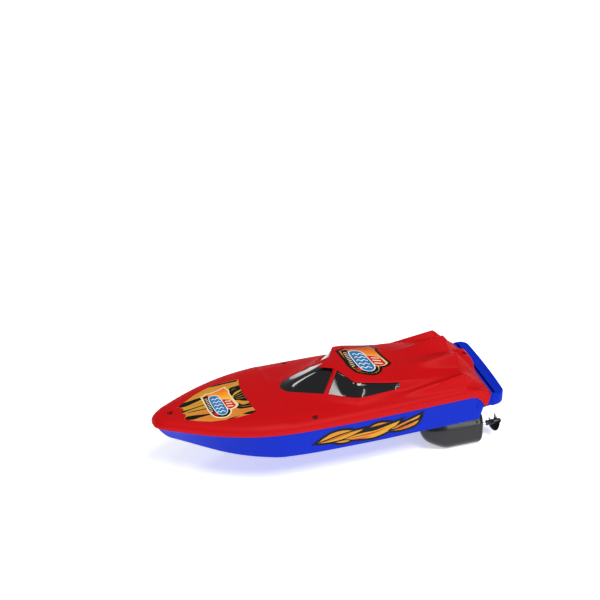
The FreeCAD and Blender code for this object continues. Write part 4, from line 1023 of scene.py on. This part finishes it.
def make_pods():
    """Motor housings, bored for the motors, and their rear caps."""
    stations = np.concatenate([-80.6 - np.linspace(0, 1, 20) ** 1.7 * 8, np.arange(-90, -130.8, -1.5),
                               [-130.8, -130.95, -132.5, -134.6]])
    cap_stations = np.concatenate([[-134.75], np.linspace(-135.0, -137.6, 9)])
    for name, side in SIDES:
        offset = side * SHAFT_Y
        housing = new_object(f"pod_shell_{name}", *capped(pod_grid(stations, POD, offset)), POD_BLACK,
                             smooth_angle=50)
        bore = lathe(((-136, 0), (-136, 7.4), (-107, 7.4), (-107, 0)), 48, (0, offset, SHAFT_Z))
        boolean(housing, [bore], "DIFFERENCE", POD_BLACK, 50)
        rides(housing, "boat", "pod_plastic", f"pod_housing_{name}")
        cap = new_object(f"pod_rear_cap_{name}", *capped(pod_grid(cap_stations, POD_CAP, offset)),
                         POD_BLACK, smooth_angle=50)
        hole = lathe(((-140, 0), (-140, 2.2), (-134, 2.2), (-134, 0)), 32, (0, offset, SHAFT_Z))
        boolean(cap, [hole], "DIFFERENCE", POD_BLACK, 50)
        rides(cap, "boat", "pod_plastic", f"pod_cap_{name}")


HUB_FRONT, HUB_LENGTH, HUB_RADIUS = -143.8, 12.1, 2.4
BLADE_REACH, BLADE_CHORD, BLADE_MIDDLE = 8.6, 12.6, 4.78
BLADE_PITCH = 2 * math.pi * 5.6 * math.tan(math.radians(32))


def blade(angle, hand):
    """One twisted blade: broad and round, thick at the root and thin at the rim."""
    centre_x = HUB_FRONT - HUB_LENGTH + 4.4
    radii = np.concatenate([[1.2], BLADE_REACH - 6.6 * (1 - np.linspace(0, 1, 18)) ** 1.6])
    columns = np.linspace(-1, 1, 15)
    faces_of = []
    for side in (1, -1):
        rows = []
        for r in radii:
            share = (r - 0.8) / (BLADE_REACH - 0.8)
            oval = max(1 - ((r - BLADE_MIDDLE) / (BLADE_REACH - BLADE_MIDDLE)) ** 2, 0)
            chord = max(BLADE_CHORD * math.sqrt(oval), 1.6)
            thick = (1.0 - 0.55 * share) * 0.5
            turn = math.atan2(BLADE_PITCH, 2 * math.pi * max(r, 3.0)) * hand
            row = []
            for c in columns:
                across = c * chord / 2
                height = side * thick * math.sqrt(max(1 - c * c, 0)) ** 0.8 + 0.35 * (1 - c * c) * share
                along_x = across * math.sin(turn) + height * math.cos(turn)
                around = across * math.cos(turn) - height * math.sin(turn)
                a = angle + around / max(r, 2.2)
                row.append((centre_x + along_x, r * math.sin(a), r * math.cos(a)))
            rows.append(row)
        faces_of.append(np.array(rows))
    return shell(faces_of[0], faces_of[1], ("first_row", "last_row", "first_column", "last_column"))


def make_propellers():
    """A three-bladed propeller on each shaft, the two of opposite hand."""
    for name, side in SIDES:
        shaft = np.array((0, side * SHAFT_Y, SHAFT_Z))
        front, back, radius = HUB_FRONT, HUB_FRONT - HUB_LENGTH, HUB_RADIUS
        profile = [(front - 7.7, 0.0), (front - 7.7, 1.02), (front, 1.02), (front, radius - 0.25),
                   (front - 0.25, radius), (front - 1.8, radius), (front - 2.0, radius - 0.2),
                   (front - 2.5, radius - 0.2), (front - 2.7, radius)]
        for a in np.linspace(0, math.pi / 2, 9):
            profile.append((back - radius * math.sin(a) * 0.99, radius * math.cos(a)))
        parts = [lathe(profile, 40)]
        parts += [blade(math.radians(120 * k + 5) * side, side) for k in range(3)]
        points, faces = merged(parts)
        prop = new_object(f"screw_propeller_{name}", points + shaft, faces, BLACK, merge=0.002,
                          smooth_angle=45)
        rides(prop, f"propeller_{name}", "black_plastic", f"propeller_{name}")


# ------------------------------------------------------------------ printed decals


def curve_through(points, per_span=7):
    """A smooth open run through the points."""
    p = np.array(points, float)
    p = np.concatenate([[2 * p[0] - p[1]], p, [2 * p[-1] - p[-2]]])
    out = []
    for k in range(1, len(p) - 2):
        for t in np.linspace(0, 1, per_span, endpoint=False):
            out.append(0.5 * (2 * p[k] + (p[k + 1] - p[k - 1]) * t
                              + (2 * p[k - 1] - 5 * p[k] + 4 * p[k + 1] - p[k + 2]) * t * t
                              + (3 * p[k] - p[k - 1] - 3 * p[k + 1] + p[k + 2]) * t ** 3))
    out.append(p[-2])
    return np.array(out)


def tongue(one_side, other_side):
    """A flame tongue between two tips, from its two sides."""
    first, second = curve_through(one_side), curve_through(other_side)
    return np.concatenate([first, second[-2:0:-1]])


def widened(polygon, distance):
    """A closed outline moved outwards, with blunt tips."""
    following = np.roll(polygon, -1, 0)
    area = 0.5 * np.sum(polygon[:, 0] * following[:, 1] - following[:, 0] * polygon[:, 1])
    way = 1 if area > 0 else -1
    before, after = polygon - np.roll(polygon, 1, 0), following - polygon
    before /= np.maximum(np.linalg.norm(before, axis=1), 1e-9)[:, None]
    after /= np.maximum(np.linalg.norm(after, axis=1), 1e-9)[:, None]
    normal = np.stack([before[:, 1] + after[:, 1], -before[:, 0] - after[:, 0]], -1) * way
    length = np.linalg.norm(normal, axis=1)
    spread = np.minimum(2 / np.maximum(length, 0.25), 2.4)
    return polygon + normal / np.maximum(length, 1e-9)[:, None] * (distance * spread)[:, None]


def inside(points, polygon):
    """Which points lie inside a closed outline."""
    x, y = points[:, 0:1], points[:, 1:2]
    ax, ay = polygon[:, 0], polygon[:, 1]
    bx, by = np.roll(ax, -1), np.roll(ay, -1)
    with np.errstate(divide="ignore", invalid="ignore"):
        crossing = ((ay > y) != (by > y)) & (x < (bx - ax) * (y - ay) / (by - ay) + ax)
    return crossing.sum(1) % 2 == 1


def printed_sheet(name, shapes, mapper, spacing=1.5):
    """One thin sheet cut along the borders of its printed shapes; later shapes lie over earlier ones.

    A shape is (outline, ink, sheet or clip); None marks a shape that adds to the sheet itself."""
    coords, borders = [], []
    for polygon, _, _ in shapes:
        start, count = len(coords), len(polygon)
        coords += [Vector(p) for p in polygon]
        borders += [(start + k, start + (k + 1) % count) for k in range(count)]
    everything = np.array([tuple(c) for c in coords])
    low, high = everything.min(0), everything.max(0)
    for a in np.arange(low[0], high[0], spacing):
        for b in np.arange(low[1], high[1], spacing):
            coords.append(Vector((a + 0.013, b + 0.017)))
    verts, _, tris, _, _, _ = delaunay_2d_cdt(coords, borders, [], 0, 0.004)
    flat = np.array([tuple(v) for v in verts])
    middles = np.array([flat[list(tri)].mean(0) for tri in tris])
    cover = np.full(len(tris), -1)
    for number, (polygon, _, clip) in enumerate(shapes):
        hit = inside(middles, polygon)
        if clip is not None:
            hit &= inside(middles, clip)
        cover[hit] = number
    inks = []
    for _, material, _ in shapes:
        if material not in inks:
            inks.append(material)
    kept = [(tri, inks.index(shapes[c][1])) for tri, c in zip(tris, cover) if c >= 0]
    used = sorted({k for tri, _ in kept for k in tri})
    number = {k: n for n, k in enumerate(used)}
    top, bottom = mapper(flat[used], 0.13), mapper(flat[used], -0.05)
    count = len(used)
    all_faces, all_inks, edges = [], [], {}
    for tri, material in kept:
        loop = [number[k] for k in tri]
        all_faces += [loop, [k + count for k in reversed(loop)]]
        all_inks += [material, material]
        for one, two in zip(loop, loop[1:] + loop[:1]):
            edges[(one, two)] = material
    for (one, two), material in edges.items():
        if (two, one) not in edges:
            all_faces.append([two, one, one + count, two + count])
            all_inks.append(material)
    mesh = bpy.data.meshes.new(name)
    mesh.from_pydata([tuple(p) for p in place(np.concatenate([top, bottom]))], [], all_faces)
    for material in inks:
        mesh.materials.append(material)
    mesh.polygons.foreach_set("material_index", all_inks)
    obj = bpy.data.objects.new(name, mesh)
    bpy.context.scene.collection.objects.link(obj)
    weld(obj, 0, 50)
    return obj


def on_deck(flat, lift):
    """Lays plan points (x, y) on the deck."""
    return np.column_stack([flat, deck_z(flat[:, 0], flat[:, 1]) + lift])


def on_side(side):
    """A mapper from the side view (x, z) to the hull's side."""
    def mapper(flat, lift):
        points = []
        for x, z in flat:
            _, chine, rim = hull_line(x)
            y = chine[0] + (rim[0] - chine[0]) * (z - chine[1]) / (rim[1] - chine[1])
            points.append((x, side * (y + lift), z))
        return np.array(points)
    return mapper


BADGE = ((105.3, -10.8), (102.6, -11.6), (99.8, -14.0), (97.5, -13.2), (95.0, -13.4), (88.0, -15.4),
         (81.6, -18.4), (81.2, -14.5), (79.6, -11.8), (80.6, -6.8), (79.6, 2.0), (77.6, 11.2), (79.4, 13.6),
         (81.8, 15.3), (85.1, 16.0), (85.4, 18.2), (86.8, 21.0), (89.2, 23.2), (92.2, 24.3), (96.0, 23.6),
         (99.4, 22.2), (101.6, 20.1), (103.2, 16.0), (104.2, 11.0), (104.7, 0.3))
BADGE_RIM = ((104.2, -9.6), (103.2, -9.8), (103.6, 0.2), (103.1, 10.8), (102.0, 15.6), (100.6, 19.2),
             (98.6, 21.2), (95.6, 22.5), (92.4, 23.1), (90.0, 22.1), (87.9, 20.2), (86.7, 17.6),
             (87.4, 14.0), (92.0, 19.4), (97.2, 17.2), (98.9, 10.0), (99.6, 0.0), (99.0, -9.6),
             (101.6, -10.0))
BLUE_PANEL = ((98.6, -6.8), (96.0, -8.2), (92.6, -7.4), (90.9, -4.6), (89.6, 5.0), (88.8, 14.4),
              (89.8, 18.0), (92.4, 20.0), (95.6, 19.2), (97.6, 16.0), (98.8, 8.0), (99.2, -2.0))
RED_PANEL = ((89.4, -0.6), (85.6, 0.6), (82.0, 2.8), (80.9, 7.4), (80.2, 11.2), (82.0, 13.4),
             (85.0, 14.5), (87.6, 13.2), (88.6, 8.0))
BADGE_CORNERS = ((105.3, -10.8), (77.6, 11.2), (92.2, 24.3))
ROOF_CORNERS = ((-19.5, -18.9), (-59.4, 6.2), (-38.4, 21.8))


def roof_from_bow(points):
    """The badge on the roof is the one on the bow, turned and enlarged."""
    here = np.column_stack([np.array(BADGE_CORNERS), np.ones(3)])
    change = np.linalg.solve(here, np.array(ROOF_CORNERS))
    return np.column_stack([points, np.ones(len(points))]) @ change


def emblem(rim_ink):
    """A generic shield: a glowing sky, a sea panel with waves and a small red sun panel."""
    badge, rim = np.array(BADGE), curve_through(BADGE_RIM + BADGE_RIM[:1], 4)[:-1]
    blue = curve_through(BLUE_PANEL + BLUE_PANEL[:1], 5)[:-1]
    red = curve_through(RED_PANEL + RED_PANEL[:1], 4)[:-1]
    field = widened(badge, -1.0)
    shapes = [(badge, rim_ink, None), (field, INK_SUN, None), (rim, INK_BLACK, field),
              (widened(blue, 0.65), INK_WHITE, field), (blue, INK_BLUE, field),
              (widened(red, 0.5), INK_CREAM, field), (red, INK_RED, field)]
    for step in range(5):
        start = -3.4 + 4.6 * step
        b = np.linspace(90.6, 97.6, 22)
        wave = start + 0.9 * np.sin((b - 90) * 1.75)
        crest = np.column_stack([np.concatenate([b, b[::-1]]), np.concatenate([wave, wave[::-1] + 1.1])])
        shapes.append((crest, INK_WHITE, blue))
    for step in range(3):
        one, two = 2.6 + 3.6 * step, 4.0 + 3.6 * step
        ray = np.array([(87.4, one), (82.4, one + 1.0), (82.4, two + 1.0), (87.4, two)])
        shapes.append((ray, INK_CREAM, red))
    for step in range(9):
        one = -6.6 + 2.4 * step
        dash = np.array([(100.4, one), (102.6, one + 0.5), (102.6, one + 1.3), (100.4, one + 0.8)])
        shapes.append((dash, INK_CREAM, field))
    shapes.append((np.array([(101.2, 15.6), (98.9, 15.4), (97.2, 19.0), (99.2, 19.8)]), INK_RED, field))
    return shapes


BOW_OUTLINE = ((126.9, -4.1), (119.9, -8.5), (109.8, -15.8), (100.2, -20.8), (92, -24), (81.3, -25.6),
               (67.3, -26.4), (69.4, -17), (70.0, -8.4), (69.6, 2), (68.6, 12), (66.6, 25), (72, 26.8),
               (81.8, 27.2), (93.4, 26.8), (105.3, 24.4), (116.5, 19.3), (125.6, 13.4), (122.8, 10.0),
               (123.6, 7.0), (126.2, 4.3), (122.8, 2.0), (122.9, -0.8))
BOW_STRIPES = (
    (((126.7, -4.2), (120.9, -7.9), (114.8, -8.9), (109.8, -9.8), (101.8, -10.4)),
     ((126.7, -4.2), (123.7, -2.2), (118.4, -2.6), (111.8, -4.6), (101.8, -8.0))),
    (((126.3, 4.7), (124.0, 2.9), (118.2, 2.7), (103.5, 0.7)),
     ((126.3, 4.7), (124.1, 5.4), (117.7, 4.1), (103.5, 1.9))),
    (((124.0, 6.9), (115.6, 6.4), (103.0, 7.0)), ((124.0, 6.9), (115.0, 7.6), (103.0, 8.1))),
    (((125.4, 13.3), (122.5, 11.5), (117.1, 12.1), (111.4, 13.4), (103.0, 15.0)),
     ((125.4, 13.3), (122.7, 15.4), (118.5, 16.9), (112.3, 16.6), (103.0, 16.4))),
    (((95.3, -23.0), (87.9, -24.6), (79.7, -25.3), (67.6, -26.0)),
     ((95.3, -23.0), (89.4, -22.4), (79.2, -22.9), (68.6, -22.8))),
    (((93.3, 26.6), (86.7, 25.9), (80.2, 25.7)), ((93.3, 26.6), (87.8, 27.2), (80.2, 25.7))),
    (((82.0, -8.0), (78.6, -14.2), (73.6, -15.6), (67.0, -16.6)),
     ((82.0, -8.0), (80.1, -2.4), (75.6, -6.8), (67.6, -10.0))),
    (((80.5, 5.8), (78.4, -1.6), (74.9, -4.4), (67.8, -8.6)),
     ((80.5, 5.8), (77.1, 4.9), (73.0, 7.6), (66.8, 9.9))),
    (((80.8, 14.0), (77.6, 9.4), (74.1, 12.9), (66.2, 11.6)),
     ((80.8, 14.0), (79.0, 17.1), (73.1, 18.3), (65.6, 18.6))),
    (((78.2, 24.6), (72.2, 23.4), (64.5, 23.6)), ((78.2, 24.6), (74.1, 26.4), (64.5, 27.6))),
)
BOW_STREAKS = (((79.0, -0.8), (74.6, -2.6), (69.2, -4.6)), ((78.8, 1.0), (74.4, 0.2), (68.8, -0.8)),
               ((78.6, 2.6), (74.2, 3.0), (68.8, 3.2)), ((79.4, 12.6), (74.4, 15.2), (67.0, 15.6)),
               ((79.0, -9.6), (76.4, -11.6), (73.8, -12.4)))
BOW_GLOWS = (
    (((118.6, -7.4), (108.6, -13.6), (98.0, -19.4)), ((118.6, -7.4), (109.6, -11.8), (98.0, -19.4))),
    (((123.0, -1.6), (114.0, -1.8), (104.0, -4.8)), ((123.0, -1.6), (114.0, -0.4), (104.0, -2.2))),
    (((119.0, 10.6), (112.0, 10.9), (104.0, 11.8)), ((119.0, 10.6), (112.0, 12.3), (104.0, 13.8))),
    (((112.0, 18.4), (104.0, 19.8), (96.0, 25.2)), ((112.0, 18.4), (104.0, 22.4), (96.0, 25.2))),
    (((86.0, 20.6), (78.0, 20.2), (68.0, 20.8)), ((86.0, 20.6), (78.0, 22.2), (68.0, 22.6))),
    (((92.0, -20.6), (82.0, -21.6), (72.0, -20.4)), ((92.0, -20.6), (82.0, -19.6), (72.0, -19.0))),
)


def bow_shapes():
    """A gold sheet with glows, black flame stripes and the badge."""
    outline = np.array(BOW_OUTLINE)
    shapes = [(outline, INK_GOLD, None)]
    shapes += [(tongue(one, two), INK_ORANGE, outline) for one, two in BOW_GLOWS]
    shapes += [(tongue(one, two), INK_BLACK, outline) for one, two in BOW_STRIPES]
    for streak in BOW_STREAKS:
        lifted = np.array(streak) + np.array([[0, 0.0], [0.1, 0.45], [0, 0.35]])
        shapes.append((tongue(streak, lifted), INK_GOLD, outline))
    return shapes + emblem(INK_CREAM)


def roof_shapes():
    """The bow's badge with a black border, turned and enlarged for the roof."""
    shapes = [(widened(np.array(BADGE), 0.9), INK_BLACK, None)] + emblem(INK_BLACK)
    turned = []
    for polygon, material, clip in shapes:
        turned.append((roof_from_bow(polygon), material, None if clip is None else roof_from_bow(clip)))
    return turned


SIDE_FLAMES = (
    ([(20.2, -14.6), (13.3, -9.4), (7.2, -6.0), (-0.9, -4.9), (-8.0, -6.0), (-12.6, -7.8)],
     [(20.2, -14.6), (13.3, -13.2), (5.1, -10.9), (-1.0, -9.3), (-7.1, -8.4), (-12.6, -7.8)], INK_FLAME),
    ([(19.4, -15.2), (9.2, -12.8), (-3.0, -9.7), (-14.3, -8.3), (-22.4, -7.9)],
     [(19.4, -15.2), (13.3, -16.2), (4.1, -16.6), (-5.2, -15.4), (-16.4, -11.6), (-22.4, -7.9)], INK_FLAME),
    ([(5.0, -17.6), (-3.2, -17.0), (-12.0, -18.6)],
     [(5.0, -17.6), (-1.1, -19.8), (-7.3, -20.2), (-12.0, -18.6)], INK_AMBER),
    ([(-26.0, -8.6), (-31.8, -5.5), (-38.0, -5.2), (-45.6, -7.2)],
     [(-26.0, -8.6), (-32.0, -8.4), (-38.1, -8.0), (-45.6, -7.2)], INK_AMBER),
    ([(-3.0, -16.2), (-13.4, -13.4), (-22, -12.6), (-32.0, -12.6), (-44.4, -9.8), (-55.8, -7.2)],
     [(-3.0, -16.2), (-11.4, -18.4), (-21.8, -20.4), (-32.2, -21.2), (-42.5, -18.4), (-50.8, -13.6),
      (-55.8, -7.2)], INK_FLAME),
    ([(-45.0, -16.2), (-52.9, -12.8), (-62.2, -9.6), (-73.9, -5.6)],
     [(-45.0, -16.2), (-52.9, -16.0), (-59.1, -13.8), (-66.4, -11.4), (-72.2, -9.4),
      (-73.9, -5.6)], INK_FLAME),
    ([(-46.7, -17.6), (-56.0, -16.2), (-66.5, -13.4), (-73.4, -11.0)],
     [(-46.7, -17.6), (-55.0, -19.2), (-63.5, -18.6), (-70.8, -16.0), (-73.4, -11.0)], INK_AMBER),
)
SIDE_EMBERS = (
    ([(17.0, -14.8), (8, -13.6), (0, -11.6), (-9, -9.8)],
     [(17.0, -14.8), (8, -14.2), (0, -12.3), (-9, -9.8)]),
    ([(-6.0, -16.4), (-18, -15.4), (-30, -14.8), (-42, -12.8)],
     [(-6.0, -16.4), (-18, -16.4), (-30, -16.2), (-42, -12.8)]),
    ([(-10.0, -18.0), (-20, -18.4), (-29, -18.6)], [(-10.0, -18.0), (-20, -19.2), (-29, -18.6)]),
    ([(-50.0, -15.2), (-58, -13.0), (-66, -10.4)], [(-50.0, -15.2), (-58, -13.7), (-66, -10.4)]),
    ([(-52.0, -17.6), (-60, -16.8), (-68, -14.6)], [(-52.0, -17.6), (-60, -17.5), (-68, -14.6)]),
)


SIDE_BACKING = ((-8, -9.5), (-30, -9.0), (-52, -12.5), (-60, -14.5), (-46, -19.0), (-20, -16.0))


def side_shapes():
    """Black-edged flame tongues over a black backing, with embers along their middles."""
    flames = [(tongue(one, two), material) for one, two, material in SIDE_FLAMES]
    shapes = [(widened(polygon, 2.1), INK_BLACK, None) for polygon, _ in flames]
    shapes.append((np.array(SIDE_BACKING), INK_BLACK, None))
    for polygon, material in flames:
        shapes.append((widened(polygon, 0.65), INK_BLACK, None))
        shapes.append((widened(polygon, -0.45), material, None))
    shapes += [(widened(tongue(one, two), 0.3), INK_EMBER, None) for one, two in SIDE_EMBERS]
    return shapes


def make_decals():
    """The printed films on bow, roof and both sides."""
    bow = printed_sheet("bow_flame_print", bow_shapes(), on_deck)
    rides(bow, "boat", "printed_decal", "bow_decal")
    roof = printed_sheet("roof_badge_print", roof_shapes(), on_deck)
    rides(roof, "boat", "printed_decal", "roof_decal")
    for name, side in SIDES:
        flames = printed_sheet(f"side_flame_print_{name}", side_shapes(), on_side(side))
        rides(flames, "boat", "printed_decal", f"side_decal_{name}")


# ------------------------------------------------------------------ small parts from the frame


SLOT_MATERIALS = {
    "hull_plastic": BLUE, "deck_plastic": RED, "smoked_window": GLASS, "pod_plastic": POD_BLACK,
    "black_plastic": BLACK, "printed_decal": INK_GOLD, "screw_steel": WELL_SHADE_SCREW_STEEL, "shaft_steel": STEEL,
    "motor_steel": CAN_STEEL, "bush_brass": BRASS, "seal_rubber": RUBBER, "battery_wrap": WRAP,
    "lead_insulation": LEAD, "circuit_board": BOARD, "chip_plastic": CHIP, "foam": FOAM,
}


def dress_frame():
    """Every CAD node shown as it is gets the procedural finish of its slot."""
    for part in frame["record"]["subparts"]:
        node = frame["nodes"].get(part["node"])
        if node is None:
            continue
        node.data.materials.clear()
        node.data.materials.append(SLOT_MATERIALS[part["material_slot"]])


bpy.context.scene.view_settings.view_transform = "Standard"
make_camera()
make_light()
make_floor()
dress_frame()
make_deck()
make_windows()
make_hull()
make_pods()
make_propellers()
make_decals()
